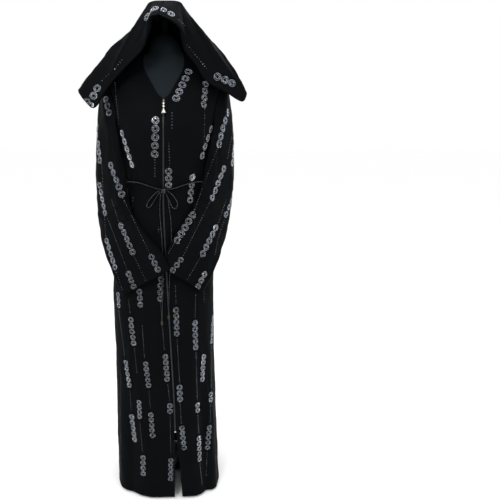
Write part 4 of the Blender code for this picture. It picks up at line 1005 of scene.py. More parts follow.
def hood_outer(table, place, side, share):
    """Points of the hood's outer cloth."""
    place = np.clip(place, 0.0, 1.0)
    crown = crown_point(math.pi * place, 1.0, side)
    edge = table_point(table, place, 1)
    swell = read_rows([(row[0], row[2]) for row in table], 1, place)
    away = unit(np.stack([edge[..., 0], edge[..., 1], np.zeros_like(edge[..., 0])], axis=-1))
    behind = smooth_step((place - 0.7) / 0.3)
    dent = HOOD_BACK_DENT * behind * bell(share - 0.22, 0.16)
    lift = swell * np.sin(math.pi * np.minimum(share, 1.0)) - dent
    return crown + (edge - crown) * share + away * lift[..., None]


def hood_inward(table, place, side, share):
    """The way into the hood, the same for both halves at their seam."""
    round_way = hood_outer(table, place + 0.02, side, share) - hood_outer(table, place - 0.02, side, share)
    low = hood_outer(table, place, side, min(share + 0.04, 1.0))
    high = hood_outer(table, place, side, share - 0.04)
    inward = unit(np.cross(low - high, round_way))
    to_middle = np.array(HOOD_MIDDLE) - hood_outer(table, place, side, share)
    inward = np.where(((inward * to_middle).sum(axis=-1) < 0.0)[:, None], -inward, inward)
    level = np.zeros_like(place)
    at_seam = np.stack([level, np.where(place < 0.5, 1.0, -1.0), level], axis=-1)
    away = smooth_step(np.minimum(place, 1.0 - place) / SEAM_BLEND)[:, None]
    return unit(at_seam * (1.0 - away) + inward * away)


def hood_grid(side, table):
    """Half of the hood's points, from its crown over the side to the turned-under end."""
    place = np.linspace(0.0, 1.0, HOOD_COLUMNS)
    rows = [crown_point(math.pi * place, share, side) for share in CROWN_SHARES]
    rows += [hood_outer(table, place, side, share) for share in HOOD_SHARES]
    outer_rows = len(rows)
    inside = []
    for share, depth in EDGE_TURN:
        turned_in = hood_outer(table, place, side, share)
        turned_in = turned_in + hood_inward(table, place, side, share) * EDGE_ROUND * depth
        inside.append(stand_off(turned_in, HOOD_CLEAR))
    start = inside[1]
    mirror = np.array([side, 1.0, 1.0])
    under, end = table_point(HOOD_UNDER, place, 1) * mirror, table_point(HOOD_UNDER, place, 2) * mirror
    reach = smooth_step((place - UNDER_START[0]) / (UNDER_START[1] - UNDER_START[0]))[:, None]
    rows += inside[:2]
    for turned_in, share in zip(inside[2:], UNDER_SHARES):
        way = start * (1 - share) ** 2 + under * 2 * share * (1 - share) + end * share**2
        rows.append(stand_off(turned_in * (1 - reach) + way * reach, HOOD_CLEAR))
    lengths = np.cumsum([0.0] + [np.linalg.norm(b - a, axis=-1).mean() for a, b in zip(rows, rows[1:])])
    grid, along = through_rows(rows, HOOD_DENSE_ROWS, (outer_rows - 3, outer_rows + 2, EDGE_CLOSER))
    edge_at, crown_at = lengths[outer_rows - 1], lengths[len(CROWN_SHARES) - 1]
    down = (along - crown_at) / (edge_at - crown_at) * HOOD_LENGTH
    first = np.broadcast_to(place[None, :] * HOOD_WAY, grid.shape[:2])
    second = np.broadcast_to(down[:, None], grid.shape[:2])
    normal = grid_normals(grid)
    outward = grid - np.array(HOOD_MIDDLE)
    body_rows = (down > 0.0) & (down < HOOD_LENGTH)
    if (normal[body_rows] * outward[body_rows]).sum() < 0.0:
        normal = -normal
    lift = crease_lift(first, second, HOOD_CREASES[side])
    lift += sum(crest * uneven(grid, size, seed) for crest, size, seed in HOOD_UNEVEN)
    fade = smooth_step(second / 0.02) * (1.0 - smooth_step((second - HOOD_LENGTH + 0.012) / 0.012))
    at_seam = smooth_step(np.minimum(place, 1.0 - place) / 0.05)[None, :]
    in_front = 1.0 - smooth_step((place - 0.44) / 0.04)[None, :]
    border = bell(second - HOOD_LENGTH + HOOD_BORDER, 0.0016)
    grid = grid + normal * (lift * fade * at_seam - STITCH_DEPTH * border * in_front)[..., None]
    return grid + np.array([side * HOOD_SEAM, 0.0, 0.0])


FORM_SIDES = 112
FORM_ROWS = 120
FORM_CAP = (0.72, 0.42, 0.14)    # rings over the neck's top, as shares of its last ring
REST_SIDES = 64
FORM_LOW_Z = 0.800
# Height, clearance to the middle of the cloth's wall
FORM_CLEAR = (
    (0.800, 0.0080), (1.117, 0.0060), (1.300, 0.0070), (1.410, 0.0072), (1.437, 0.0056), (1.455, 0.0030),
    (1.475, 0.0017), (1.502, 0.0016),
)
# Height, half width, depth in front, depth behind
NECK = (
    (1.508, 0.0535, 0.0430, 0.0480), (1.522, 0.0470, 0.0400, 0.0430), (1.536, 0.0395, 0.0350, 0.0365),
    (1.548, 0.0300, 0.0275, 0.0285), (1.556, 0.0200, 0.0190, 0.0195), (1.560, 0.0120, 0.0120, 0.0120),
)
# Height, share of the cloth's section
FORM_TAPER = (
    (0.800, 0.78), (0.830, 0.83), (0.900, 0.90), (1.010, 0.96), (1.117, 1.00),
)
FORM_HEIGHTS = (
    0.800, 0.815, 0.85, 0.90, 0.95, 1.01,
    1.069, 1.117, 1.15, 1.205, 1.245, 1.285,
    1.323, 1.35, 1.375, 1.41, 1.425, 1.437,
    1.455, 1.475, 1.490,
)
REST_HALF = (0.042, 0.060)
REST_THICK = 0.013
# The block's rounded side: share of its thickness down from the top, share of its size
REST_SIDE = (
    (0.0, 0.0), (0.0, 0.5), (0.0, 0.90), (0.03, 0.96), (0.10, 0.99), (0.22, 1.0),
    (0.60, 0.96), (0.85, 0.90), (0.97, 0.85), (1.0, 0.80), (1.0, 0.4), (1.0, 0.0),
)
POST_RADIUS = 0.0090
POLE_RADIUS = 0.014
BASE_THICK = 0.008
BASE_ARM_WIDTH = 0.030
BASE_ARM_REACH = {270: 0.128, 30: 0.160, 150: 0.160}


def form_ring(height):
    """A ring of the dress form."""
    turn = around(FORM_SIDES)
    if height > NECK_TOP_Z:
        half, front, back = (read_rows(NECK, column, height) for column in (1, 2, 3))
        depth = np.where(np.cos(turn) >= 0.0, front, back)
        return np.stack([half * np.sin(turn), -depth * np.cos(turn), np.full_like(turn, height)], axis=-1)
    share = float(read_rows(FORM_TAPER, 1, height)) if height < FORM_TAPER[-1][0] else 1.0
    clear = read_rows(FORM_CLEAR, 1, height)
    angle = np.degrees(turn)
    ring = body_flat(angle, height) - body_normal(angle, np.full_like(angle, height)) * clear
    ring[:, :2] *= share
    if share < 1.0:
        ring[:, 2] = height
    return ring


def make_form():
    """The dress form: hips, waist, bust, shoulders and a round-topped neck."""
    rings = [form_ring(height) for height in FORM_HEIGHTS] + [form_ring(row[0]) for row in NECK]
    rows, along = through_rows(rings, FORM_ROWS)
    cap = []
    for share in FORM_CAP:
        ring = rows[-1] * np.array([share, share, 1.0])
        ring[:, 2] += 0.0012 * (1.0 - share)
        cap.append(ring)
    return closed_loft("form_body", np.concatenate([rows, np.array(cap)]), JERSEY)


def make_rest():
    """The padded block and its post that hold the hood's crown up."""
    slope = math.atan(CROWN_SLOPE)
    top_z = CROWN_Z - (WALL / 2.0 + SEAM) / math.cos(slope)
    turn = around(REST_SIDES)
    rows = []
    for down, share in REST_SIDE:
        across = np.sin(turn) * REST_HALF[0] * max(share, 0.01)
        along = -np.cos(turn) * REST_HALF[1] * max(share, 0.01)
        rows.append(np.stack([across, along, top_z + CROWN_SLOPE * along - REST_THICK * down], axis=-1))
    block = closed_loft("rest_block", rows, TAPE)
    low, high = NECK[-1][0] + SEAM, top_z - REST_THICK * 0.9
    post = turned_piece("rest_post", ((low, POST_RADIUS + 0.003), (low + 0.003, POST_RADIUS + 0.003),
                                      (low + 0.005, POST_RADIUS), (high - 0.002, POST_RADIUS),
                                      (high, POST_RADIUS)), TAPE)
    return block, post


def turned_piece(name, profile, material, sides=48, sharp=True):
    """A turned solid about the Z axis: height and radius of each ring."""
    turn = around(sides)
    made = closed_loft(name, [
        np.stack([np.cos(turn) * radius, np.sin(turn) * radius, np.full_like(turn, height)], axis=-1)
        for height, radius in profile], material)
    if sharp:
        soften_edges(made, 0.0006, 2)
    return made


def make_stand():
    """The stand's pole, with its collars, and its foot with three arms."""
    low, high = BASE_THICK + SEAM, FORM_LOW_Z - SEAM
    pole = turned_piece("pole", (
        (low, 0.026), (low + 0.004, 0.026), (low + 0.010, 0.018), (low + 0.030, 0.018),
        (low + 0.032, POLE_RADIUS), (high - 0.026, POLE_RADIUS), (high - 0.024, 0.019),
        (high - 0.006, 0.019), (high - 0.004, 0.030), (high, 0.030)), STEEL)
    outline = []
    half = BASE_ARM_WIDTH / 2.0
    for degrees in sorted(BASE_ARM_REACH):
        turn = math.radians(degrees)
        reach = BASE_ARM_REACH[degrees] - half
        along = Vector((math.cos(turn), math.sin(turn), 0.0))
        aside = Vector((-along.y, along.x, 0.0))
        outline.append(along * (half * 1.6) - aside * half)
        for step in range(17):
            bend = math.pi * (step / 16.0 - 0.5)
            outline.append(along * (reach + half * math.cos(bend)) + aside * half * math.sin(bend))
        outline.append(along * (half * 1.6) + aside * half)
    lift = Vector((0.0, 0.0, BASE_THICK))
    count = len(outline)
    faces = [tuple(range(count - 1, -1, -1)), tuple(range(count, 2 * count))] + grid_faces(2, count, True)
    foot = put("foot", outline + [point + lift for point in outline], faces, STEEL)
    soften_edges(foot, 0.0015, 3)
    return pole, foot


CORD_PROFILE = tuple(
    (math.tau * step / 12, BELT_RADIUS * (0.94 + 0.06 * math.cos(6.0 * math.pi * step / 12)))
    for step in range(12))
CORD_TWIST = math.tau / 0.009
CORD_STEP = 0.0016
BELT_ENDS = 0.4               # degrees between the knot's middle and each end of the belt
BEAD_PITCH, KNOT_BEAD_PITCH = 0.0062, 0.0030
BEAD_SIZE = (0.0011, 0.0007)  # radius, height
KNOT_MIDDLE = node_middle("belt_knot")
KNOT_ACROSS = round(KNOT_MIDDLE.x, 5)    # to a hundredth of a millimetre
# The knot's wraps: across, half depth, half height, lean in radians
KNOT_WRAPS = (
    (-0.0038, 0.0040, 0.0050, 0.14), (0.0002, 0.0044, 0.0054, -0.06), (0.0040, 0.0040, 0.0049, -0.20),
)
KNOT_STEPS = 48
KNOT_FRONT = slice(2, 24)     # the points of a wrap that carry stones
BELT_POINTS = 540
TIP_LENGTH = 0.016
TIP_RADIUS = 0.0042
TIP_PROFILE = (
    (0.0, 0.40), (0.03, 0.52), (0.10, 0.60), (0.14, 0.84), (0.20, 0.90), (0.24, 0.82),
    (0.30, 0.88), (0.50, 1.0), (0.70, 0.94), (0.85, 0.78), (0.95, 0.52), (1.0, 0.24),
)
TAIL_LENGTHS = (0.3954, 0.4149)
TAPE_WIDTH = 0.014
TAPE_WALL = 0.0010
TAPE_DEPTH = -(WALL / 2.0 + 1.6 * SEAM + TAPE_WALL / 2.0)
TAPE_ROWS = 230
# The tape's points across, out from the zip's middle
TAPE_PLACES = (SEAM / 2.0, 0.0010, 0.0020, ZIP_GAP, 0.0045, 0.0065, TAPE_WIDTH * 0.6, 0.0115, TAPE_WIDTH)
TOOTH_PITCH = 0.0021
TEETH_ABOVE, TEETH_BELOW = 0.008, 0.013   # from the zip's lower end, from its top
TOOTH_HALF = (0.0015, 0.00062)      # half length across the zip, half height along it
TOOTH_OUT = (-0.0012, 0.0006)       # from the tape's face to this far over the cloth's middle
PULL_TURN = -0.57908
PULL_PLACE = Vector({joint["name"]: joint for joint in frame["joints"]}["pull_swing"]["pos_m"])
RING_RADIUS = 0.0030
RING_WIRE = 0.0007
RING_NARROW = 0.6
RING_DROP = 0.0014
RING_STEPS, RING_SIDES = 40, 12
# The pull below its ring: distance down, radius
PULL_PROFILE = (
    (0.0047, 0.0004), (0.0048, 0.0009), (0.0076, 0.0009), (0.0080, 0.0016), (0.0092, 0.0029),
    (0.0112, 0.0035), (0.0132, 0.0029), (0.0144, 0.0016), (0.0148, 0.0010), (0.0170, 0.0010),
    (0.0174, 0.0016), (0.0186, 0.0029), (0.0204, 0.0035), (0.0222, 0.0029), (0.0234, 0.0016),
    (0.0238, 0.0010), (0.0258, 0.0010), (0.0264, 0.0020), (0.0280, 0.0029), (0.0310, 0.0036),
    (0.0345, 0.0044), (0.0378, 0.0054), (0.0406, 0.0058), (0.0424, 0.0058), (0.0432, 0.0054),
    (0.0434, 0.0046), (0.0434, 0.0010),
)

# Stones round the pull: number, distance down, distance from its axis, radius
PULL_STONES = (
    (15, 0.0408, 0.0057, 0.0010), (12, 0.0345, 0.0043, 0.0009), (10, 0.0204, 0.0034, 0.0009),
    (10, 0.0112, 0.0034, 0.0009),
)


def route_points(route):
    """The points of a cord that lies on the front."""
    return [front_point(across, height, out) for across, height, out in route]


def small_stone(verts, faces, middle, normal, radius, height, sides=6, turn=0.0):
    """Add a cut stone: a flat top on sloping facets."""
    normal = Vector(normal).normalized()
    first = normal.orthogonal().normalized()
    second = normal.cross(first)
    base = len(verts)
    for share, lift in ((1.0, 0.0), (0.56, height)):
        for at in range(sides):
            bend = math.tau * at / sides + turn
            aside = (first * math.cos(bend) + second * math.sin(bend)) * radius * share
            verts.append(Vector(middle) + aside + normal * lift)
    for at in range(sides):
        after = (at + 1) % sides
        faces.append((base + at, base + after, base + sides + after, base + sides + at))
    faces.append(tuple(range(base + sides, base + 2 * sides)))


def cord_beads(name, points, way_out, spacing=BEAD_PITCH):
    """Seed stones along a cord, on the side away from the cloth."""
    verts, faces = [], []
    walked, wanted = 0.0, spacing
    for a, b in zip(points, points[1:]):
        run = (b - a).length
        walked += run
        if walked < wanted:
            continue
        wanted += spacing
        out, along = way_out(b), (b - a).normalized()
        out = (out - along * out.dot(along)).normalized()
        small_stone(verts, faces, b + out * (BELT_RADIUS * 0.90), out, *BEAD_SIZE)
    return ride(put(name, verts, faces, SEEDS, smooth=False))


def front_way(point):
    """Straight out of the front's cloth."""
    angle = float(angle_at(point.x, point.z))
    return Vector(body_normal(np.array(angle), np.array(point.z)))


def bow_way(point):
    """Towards the front and a little up, for the beads of the bow."""
    return Vector((0.0, -1.0, 0.25))


def waist_way(point):
    """Straight out from the waist."""
    return Vector((point.x, point.y, 0.0))


def make_tail(name, node, route, tip_name, tip_node):
    """A tail of the belt with its beads and its turned end."""
    points = route_points(route)
    line = curve_through(points, CORD_STEP)
    tail = ride(tube_piece(name, line, CORD_PROFILE, CORD_TWIST, CORD), node)
    beads = cord_beads(name + "_beads", line, front_way)
    profile = [(-down * TIP_LENGTH, share * TIP_RADIUS) for down, share in TIP_PROFILE]
    # The tip in the darkened gold, which is painted shade
    tip = turned_piece(tip_name, profile, GOLD_PAINTED_SHADE, 36, sharp=False)
    tip.location = node_middle(tip_node, at_top=True)
    ride(tip, tip_node)


for side_name, tail_route, tail_length in (("left", TAIL_LEFT, TAIL_LENGTHS[0]),
                                           ("right", TAIL_RIGHT, TAIL_LENGTHS[1])):
    make_tail("tail_" + side_name, "belt_tail_" + side_name, tail_route,
              "tip_" + side_name, "tail_end_" + side_name)


def make_belt():
    """The belt round the waist, its bow and its knot."""
    out = WALL / 2.0 + 3.0 * SEAM + BELT_RADIUS
    start = float(angle_at(KNOT_ACROSS, KNOT_Z))
    angles = np.linspace(start + BELT_ENDS, start + (360.0 - BELT_ENDS), BELT_POINTS)
    line = [Vector(p) for p in body_point(angles, belt_height(angles), out)]
    ride(tube_piece("waist_cord", line, CORD_PROFILE, CORD_TWIST, CORD), "belt")
    cord_beads("waist_beads", line, waist_way)
    for side, route in (("left", LOOP_LEFT), ("right", LOOP_RIGHT)):
        line = curve_through(route_points(route), CORD_STEP)
        ride(tube_piece("bow_" + side, line, CORD_PROFILE, CORD_TWIST, CORD), "belt_loop_" + side)
        cord_beads("bow_" + side + "_beads", line, bow_way)
    pieces = []
    for place, (across, deep, high, lean) in enumerate(KNOT_WRAPS):
        ring = []
        for step in range(KNOT_STEPS + 1):
            bend = math.tau * step / KNOT_STEPS
            up = high * math.cos(bend)
            aside = across + lean * up + 0.0006 * math.sin(bend)
            ring.append(KNOT_MIDDLE + Vector((aside, -deep * math.sin(bend), up)))
        pieces.append(tube_piece("knot_wrap_" + str(place), ring, CORD_PROFILE, CORD_TWIST, CORD))
        cord_beads("knot_beads_" + str(place), ring[KNOT_FRONT], bow_way, KNOT_BEAD_PITCH)
    for piece in pieces:
        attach(piece, GARMENT)
    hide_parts("belt_knot")


make_belt()


def make_zip():
    """The zip's tapes and its teeth."""
    heights = np.linspace(ZIP_END_Z, ZIP_TOP_Z - 0.002, TAPE_ROWS)[:, None]
    middle = read_rows(BODY, ZIP_X, heights)
    away = np.array(TAPE_PLACES)
    for name, side in (("left", 1), ("right", -1)):
        angle = angle_at(middle + side * away[None, :], heights)
        grid = body_point(angle, np.broadcast_to(heights, angle.shape), TAPE_DEPTH)
        ride(grid_piece("tape_" + name, grid, TAPE, shell=TAPE_WALL), "zip_tape_" + name)
    verts, faces = [], []
    tooth = grid_faces(3, 4, True) + [(8, 9, 10, 11)]
    first = ZIP_END_Z + TEETH_ABOVE
    count = int((ZIP_TOP_Z - TEETH_BELOW - ZIP_END_Z - TEETH_ABOVE) / TOOTH_PITCH)
    for step in range(2 * count):
        height = first + TOOTH_PITCH * step / 2.0
        across = float(read_rows(BODY, ZIP_X, height)) + (1 if step % 2 else -1) * (TOOTH_HALF[0] - 0.0005)
        inner, outer = (front_point(across, height, out) for out in TOOTH_OUT)
        way = (outer - inner).normalized()
        aside = Vector((1.0, 0.0, 0.0))
        aside = (aside - way * aside.dot(way)).normalized()
        along = way.cross(aside)
        base = len(verts)
        for point, share in ((inner, 1.0), (inner.lerp(outer, 0.72), 1.0), (outer, 0.66)):
            for x, z in ((-1, -1), (1, -1), (1, 1), (-1, 1)):
                verts.append(point + aside * x * TOOTH_HALF[0] * share + along * z * TOOTH_HALF[1] * share)
        faces += [tuple(base + corner for corner in face) for face in tooth]
    ride(put("zip_teeth", verts, faces, TEETH, smooth=False))


def make_pull():
    """The pull: a ring, two beads and a bell, with stones round them."""
    profile = [(-down, radius) for down, radius in PULL_PROFILE]
    body = turned_piece("pull_bell", profile, GOLD, 40, sharp=False)
    rows = []
    for step in range(RING_STEPS + 1):
        bend = math.tau * step / RING_STEPS
        middle = Vector((0.0, RING_RADIUS * RING_NARROW * math.sin(bend),
                         RING_RADIUS * math.cos(bend) - RING_DROP - 0.0004))
        out = Vector((0.0, math.sin(bend), math.cos(bend)))
        rows.append([middle + (out * math.cos(turn) + Vector((1.0, 0.0, 0.0)) * math.sin(turn)) * RING_WIRE
                     for turn in around(RING_SIDES)])
    ring = put("pull_ring", [point for row in rows for point in row],
               grid_faces(RING_STEPS + 1, RING_SIDES, True), GOLD)
    verts, faces = [], []
    for count, down, radius, size in PULL_STONES:
        for step in range(count):
            bend = math.tau * step / count
            out = Vector((math.cos(bend), math.sin(bend), 0.0))
            small_stone(verts, faces, out * radius + Vector((0.0, 0.0, -down)), out, size, 0.0006, 8)
    stones = put("pull_stones", verts, faces, STONES, smooth=False)
    for piece in (body, ring, stones):
        piece.location = PULL_PLACE
        piece.rotation_euler = (PULL_TURN, 0.0, 0.0)
        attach(piece, PULL)
    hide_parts("zip_pull")


make_zip()
make_pull()


# Each cloth piece: its points, whether they close round, its node, what it rests on, the width and
# length of its cut, the cut's area, and how it is held
CLOTH = {
    "panel_front_left": (front_grid(1), False, "front_left", "dress_form", (0.25, 1.57), 0.33, "hung"),
    "panel_front_right": (front_grid(-1), False, "front_right", "dress_form", (0.32, 1.57), 0.37, "hung"),
    "panel_back": (back_grid(), False, "back", "dress_form", (0.69, 1.54), 0.79, "hung"),
    "arm_left": (sleeve_grid(1, SLEEVE_LEFT), True, "sleeve_left", "front_left",
                 (0.46, 0.69), 0.205, "hung"),
    "arm_right": (sleeve_grid(-1, SLEEVE_RIGHT), True, "sleeve_right", "front_right",
                  (0.46, 0.70), 0.205, "hung"),
    "hood_half_left": (hood_grid(1, HOOD_LEFT), False, "hood_left", "hood_rest",
                       (0.54, 0.55), 0.17, "draped"),
    "hood_half_right": (hood_grid(-1, HOOD_RIGHT), False, "hood_right", "hood_rest",
                       (0.54, 0.55), 0.17, "draped"),
}
for piece_name, (grid, closed, node, *cut) in CLOTH.items():
    ride(grid_piece(piece_name, grid, BLACK, closed=closed), node)

ride(make_form(), "dress_form")
# The nodes that the block, its post, the pole and the foot stand for
STAND_NODES = ("hood_rest", None, "stand_pole", "stand_base")
for made_piece, made_node in zip(make_rest() + make_stand(), STAND_NODES):
    ride(made_piece, made_node)

# The slider in the darkened gold, which is painted shade; the stop in plain gold
for node, material in (("zip_slider", GOLD_PAINTED_SHADE), ("zip_stop", GOLD)):
    for slot in bpy.data.objects[node].material_slots:
        slot.material = material


# A disc's rings, as shares of its radius: stones, distance from its middle, their radius; and height
DISC_RINGS = ((17, 0.880, 0.115, 0.0009), (8, 0.500, 0.125, 0.0009))
DISC_SIZES = (0.0092, 0.0113)    # least and most radius
DISC_SINGLE = 0.0108             # radius of a disc that stands alone
DISC_FILL = 0.465                # its radius as a share of the way to the next disc
DISC_TURN = 0.19                 # each disc is turned on from the one before it
DOT_STEPS = 240                  # places looked at along a dotted line
SEED_PITCH = 0.0082
SEED_SIZE = (0.00125, 0.0008)
STONE_LIFT = SHELL / 2.0 + 0.00005
STONE_FROM, STONE_REACH = 0.006, 0.013   # where the search for the cloth starts, how far it goes
PIXEL_TRIES, PIXEL_STEP = 12, 0.5        # steps towards the middle when a pixel misses the cloth

# Groups of discs in the front view: middle of the first, middle of the last, number of discs
FRONT_DISCS = (
    (147.0, 17.0, 147.0, 17.0, 1), (150.5, 12.0, 150.5, 12.0, 1), (155.0, 8.3, 155.0, 8.3, 1),
    (163.0, 9.8, 163.0, 9.8, 1), (171.0, 14.0, 171.0, 14.0, 1), (217.4, 76.7, 232.0, 83.3, 3),
    (97.3, 88.4, 93.5, 95.9, 2), (87.0, 101.3, 90.8, 105.5, 2), (188.5, 71.8, 176.2, 98.3, 5),
    (205.6, 84.0, 203.8, 104.6, 4), (155.6, 120.4, 154.8, 154.0, 5), (168.6, 171.2, 168.7, 185.0, 3),
    (122.2, 133.6, 131.8, 164.4, 5), (210.8, 129.4, 202.2, 155.4, 4), (192.3, 177.3, 190.2, 199.8, 4),
    (110.9, 165.4, 121.4, 194.2, 5), (151.7, 257.0, 157.8, 269.2, 3), (121.3, 225.9, 132.5, 252.0, 5),
    (99.6, 185.3, 105.0, 212.8, 5), (128.7, 274.0, 133.7, 286.5, 3), (96.4, 128.0, 99.8, 160.0, 5),
    (106.9, 241.0, 114.9, 267.0, 5), (105.8, 99.3, 109.0, 112.6, 3), (227.6, 112.6, 218.8, 144.1, 5),
    (192.6, 214.8, 177.3, 240.3, 5), (223.7, 169.0, 212.2, 197.5, 5), (180.7, 260.0, 172.9, 270.1, 3),
    (215.6, 228.0, 202.8, 253.7, 5), (204.4, 274.4, 197.9, 286.5, 3), (161.0, 279.2, 160.2, 298.8, 4),
    (118.2, 294.7, 118.8, 305.3, 3), (139.5, 291.8, 140.4, 304.5, 3), (126.0, 362.8, 129.2, 385.2, 5),
    (131.9, 416.8, 134.7, 439.2, 5), (139.1, 402.4, 139.6, 416.6, 4), (143.1, 457.6, 143.3, 473.4, 4),
    (130.9, 319.9, 133.7, 343.1, 5), (145.7, 363.7, 148.5, 385.3, 5), (150.9, 414.6, 152.6, 435.4, 5),
    (165.3, 356.8, 167.2, 379.2, 5), (169.8, 405.8, 169.8, 411.2, 2), (170.8, 460.3, 170.6, 478.7, 5),
    (176.1, 310.0, 176.7, 333.5, 5), (179.6, 387.4, 180.0, 399.1, 3), (181.9, 428.0, 184.2, 447.6, 5),
    (195.0, 323.0, 195.6, 347.2, 5), (197.5, 404.8, 197.5, 410.2, 2), (199.0, 438.2, 199.6, 459.1, 5),
    (203.5, 356.8, 202.3, 379.2, 5), (212.6, 317.9, 211.4, 340.8, 5), (210.9, 394.3, 210.9, 399.6, 2),
    (209.4, 427.5, 207.5, 447.5, 5),
)
# Dotted lines in the front view: first pixel, last pixel
FRONT_DOTS = (
    (179, 20, 186, 27), (187, 45, 208, 70.5), (122, 60, 113.5, 70.3), (108.4, 74.6, 101, 82),
    (204.6, 109, 204, 150), (154.9, 157, 155, 178), (158.4, 227, 159.1, 234), (172, 113, 172, 130),
    (168.7, 143, 169.8, 168), (115, 83, 119, 126), (127, 180, 127.5, 192), (133, 198, 133, 208),
    (123, 198, 150, 254), (112, 200, 119, 223), (134, 256, 146, 281), (108, 219, 128, 272),
    (102, 165, 106, 238), (115.5, 270, 123, 291), (217, 149, 194, 212), (174, 244, 168, 254),
    (210, 201, 183, 256), (233, 130, 227, 160), (226, 200, 217, 226), (200.5, 257, 187, 280),
    (119, 311, 124.8, 357), (130, 391, 131.4, 411), (139.8, 422, 142.6, 452), (128.5, 300, 130.4, 314),
    (134.4, 349, 137, 372), (140.4, 290, 140.8, 309), (142.2, 326, 144.6, 358), (149, 391, 150.4, 410),
    (160.4, 303, 164.5, 351), (167.8, 385, 169.6, 400), (170, 417, 170.8, 455), (175.4, 286, 175.9, 304),
    (177, 339, 179.7, 384), (180, 402, 181.3, 423), (195.5, 295, 195, 318), (195.9, 353, 197.2, 399),
    (197.7, 416, 198.7, 433), (199.9, 464, 202, 484), (204, 292, 204, 302), (211.2, 346, 211, 389),
    (210.8, 404, 209.8, 422), (207, 453, 206, 476),
)
# The same in the side view, behind what the front view shows: side, then the group
SIDE_DISCS = (
    (1, (369.5, 116.0, 369.5, 116.0, 1)), (1, (366.0, 133.0, 356.0, 167.0, 5)),
    (1, (369.5, 196.0, 359.5, 224.0, 5)), (-1, (369.5, 116.0, 369.5, 116.0, 1)),
)
SIDE_DOTS = (
    (1, (368.5, 121, 366.8, 129)), (1, (356, 171, 366, 192)), (1, (357, 229, 345, 262)),
    (-1, (368.5, 121, 366.8, 129)),
)


def pixel_ray(across, down, side):
    """The ray of a pixel: side is 0 for the front view, 1 for the left side, -1 for the right."""
    tilt = math.radians(CAMERA_TILT)
    middle = SIDE_PIXEL if side else MIDDLE_PIXEL[0]
    right, drop = (across - middle) / FOCUS_PIXELS, (down - MIDDLE_PIXEL[1]) / FOCUS_PIXELS
    ahead = math.cos(tilt) - drop * math.sin(tilt)
    up = -math.sin(tilt) - drop * math.cos(tilt)
    if side:
        start, way = (side * CAMERA_BACK, 0.0, CAMERA_HEIGHT), (-side * ahead, right, up)
    else:
        start, way = (0.0, -CAMERA_BACK, CAMERA_HEIGHT), (right, ahead, up)
    return Vector(start), Vector(way).normalized()


def grid_tree(grid, closed):
    """A search tree of a grid's faces."""
    points = [tuple(point) for point in grid.reshape(-1, 3)]
    return BVHTree.FromPolygons(points, grid_faces(*grid.shape[:2], closed))


TREES = {piece_name: grid_tree(grid, closed) for piece_name, (grid, closed, *cut) in CLOTH.items()}


def first_hit(start, way):
    """The cloth that a ray meets first: its piece, the point and the way out of it."""
    best = None
    for piece_name, tree in TREES.items():
        point, normal, face, reach = tree.ray_cast(start, way)
        if point is not None and (best is None or reach < best[3]):
            if normal.dot(way) > 0.0:
                normal = -normal
            best = (piece_name, point, normal, reach)
    return best


def pixel_hit(across, down, side):
    """The cloth at a pixel, or a little nearer to the garment's middle."""
    middle = SIDE_PIXEL if side else MIDDLE_PIXEL[0]
    for step in range(PIXEL_TRIES):
        found = first_hit(*pixel_ray(across, down, side))
        if found is not None:
            return found
        across += math.copysign(PIXEL_STEP, middle - across)
    return None


def lay_stone(verts, faces, tree, middle, normal, offset, radius, height, sides):
    """Set a stone on the cloth beside a middle, if there is cloth there."""
    start = middle + offset + normal * STONE_FROM
    point, way, face, reach = tree.ray_cast(start, -normal, STONE_REACH)
    if point is None:
        return
    if way.dot(normal) < 0.0:
        way = -way
    small_stone(verts, faces, point + way * STONE_LIFT, way, radius, height, sides)


def lay_disc(verts, faces, tree, middle, normal, size, turn):
    """Set a disc of stones on the cloth."""
    first = (Vector((0.0, 0.0, 1.0)) - normal * normal.z).normalized()
    second = normal.cross(first)
    for count, distance, radius, height in DISC_RINGS:
        for step in range(count):
            bend = math.tau * step / count + turn
            offset = (first * math.cos(bend) + second * math.sin(bend)) * distance * size
            lay_stone(verts, faces, tree, middle, normal, offset, radius * size, height, 7)


def disc_size(places):
    """The radius of a group's discs, which almost touch each other."""
    gaps = [(b[1] - a[1]).length for a, b in zip(places, places[1:]) if a[0] == b[0]]
    if not gaps:
        return DISC_SINGLE
    return float(np.clip(DISC_FILL * np.median(gaps), *DISC_SIZES))


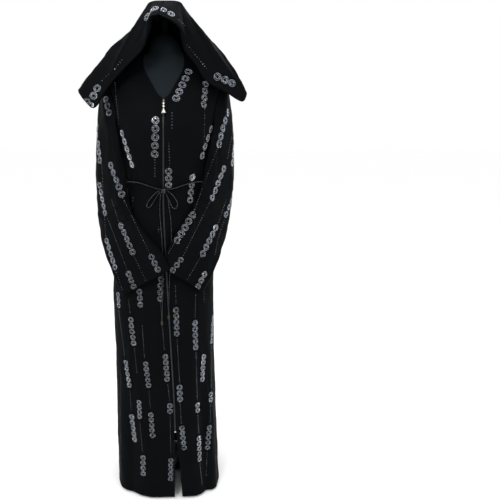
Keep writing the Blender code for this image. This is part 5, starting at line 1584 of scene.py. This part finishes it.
def make_stones():
    """The discs and the dotted lines on each cloth piece."""
    discs = {name: ([], []) for name in TREES}
    seeds = {name: ([], []) for name in TREES}
    for side, (left, top, right, low, count) in [(0, group) for group in FRONT_DISCS] + list(SIDE_DISCS):
        places = []
        for step in range(count):
            share = step / max(count - 1, 1)
            places.append(pixel_hit(left + (right - left) * share, top + (low - top) * share, side))
        places = [place for place in places if place is not None]
        size = disc_size(places)
        for step, (name, point, normal, reach) in enumerate(places):
            lay_disc(*discs[name], TREES[name], point, normal, size, DISC_TURN * step)
    rng = np.random.default_rng(5)
    for side, (left, top, right, low) in [(0, line) for line in FRONT_DOTS] + list(SIDE_DOTS):
        last = None
        for step in range(DOT_STEPS + 1):
            share = step / DOT_STEPS
            found = pixel_hit(left + (right - left) * share, top + (low - top) * share, side)
            if found is None or (last is not None and (found[1] - last).length < SEED_PITCH):
                continue
            name, last, normal, reach = found
            radius = SEED_SIZE[0] * rng.uniform(0.75, 1.2)
            lay_stone(*seeds[name], TREES[name], last, normal, Vector(), radius, SEED_SIZE[1], 6)
    made = []
    for ending, table, material in (("_discs", discs, STONES), ("_seeds", seeds, SEEDS)):
        for name, (verts, faces) in table.items():
            if faces:
                made.append((name, ride(put(name + ending, verts, faces, material, smooth=False))))
    return made


ON_CLOTH = make_stones()


def make_floor():
    """A plain pale floor."""
    mesh = bpy.data.meshes.new("floor")
    mesh.from_pydata([(-30, -30, 0), (30, -30, 0), (30, 30, 0), (-30, 30, 0)], [], [(0, 1, 2, 3)])
    material, tree, shader = new_material("studio_floor", (0.995, 0.995, 0.995), 0.9, 0.0, 0.02)
    space = object_space(tree)
    tree.links.new(ramp(tree, noise(tree, space, 1.5), (0.992, 0.992, 0.992), (0.998, 0.998, 0.998)),
                   shader.inputs["Base Color"])
    mesh.materials.append(material)
    place_in_scene("floor", mesh)


# Soft lights: name, place, aimed at, size, power
LIGHTS = (
    ("key", (-1.0, -2.0, 2.7), (0.0, 0.0, 1.45), 1.0, 42.0),
    ("fill", (1.4, -1.9, 2.2), (0.0, 0.0, 1.3), 1.2, 14.0),
    ("top", (0.0, 0.3, 3.2), (0.0, 0.0, 1.5), 1.6, 14.0),
    ("behind", (0.6, 2.8, 2.4), (0.0, 0.0, 1.1), 1.6, 14.0),
)


def make_lights():
    """Large soft lights and a pale world."""
    for name, place, aim, size, power in LIGHTS:
        data = bpy.data.lights.new(name, "AREA")
        data.shape, data.size, data.energy = "DISK", size, power
        made = place_in_scene(name, data)
        made.location = place
        made.rotation_euler = (Vector(aim) - Vector(place)).to_track_quat("-Z", "Y").to_euler()
    world = bpy.data.worlds.new("studio")
    bpy.context.scene.world = world
    world.use_nodes = True
    background = world.node_tree.nodes["Background"]
    background.inputs["Color"].default_value = (1.0, 1.0, 1.0, 1.0)
    background.inputs["Strength"].default_value = 1.0
    bpy.context.scene.view_settings.view_transform = "Standard"


make_floor()
make_lights()
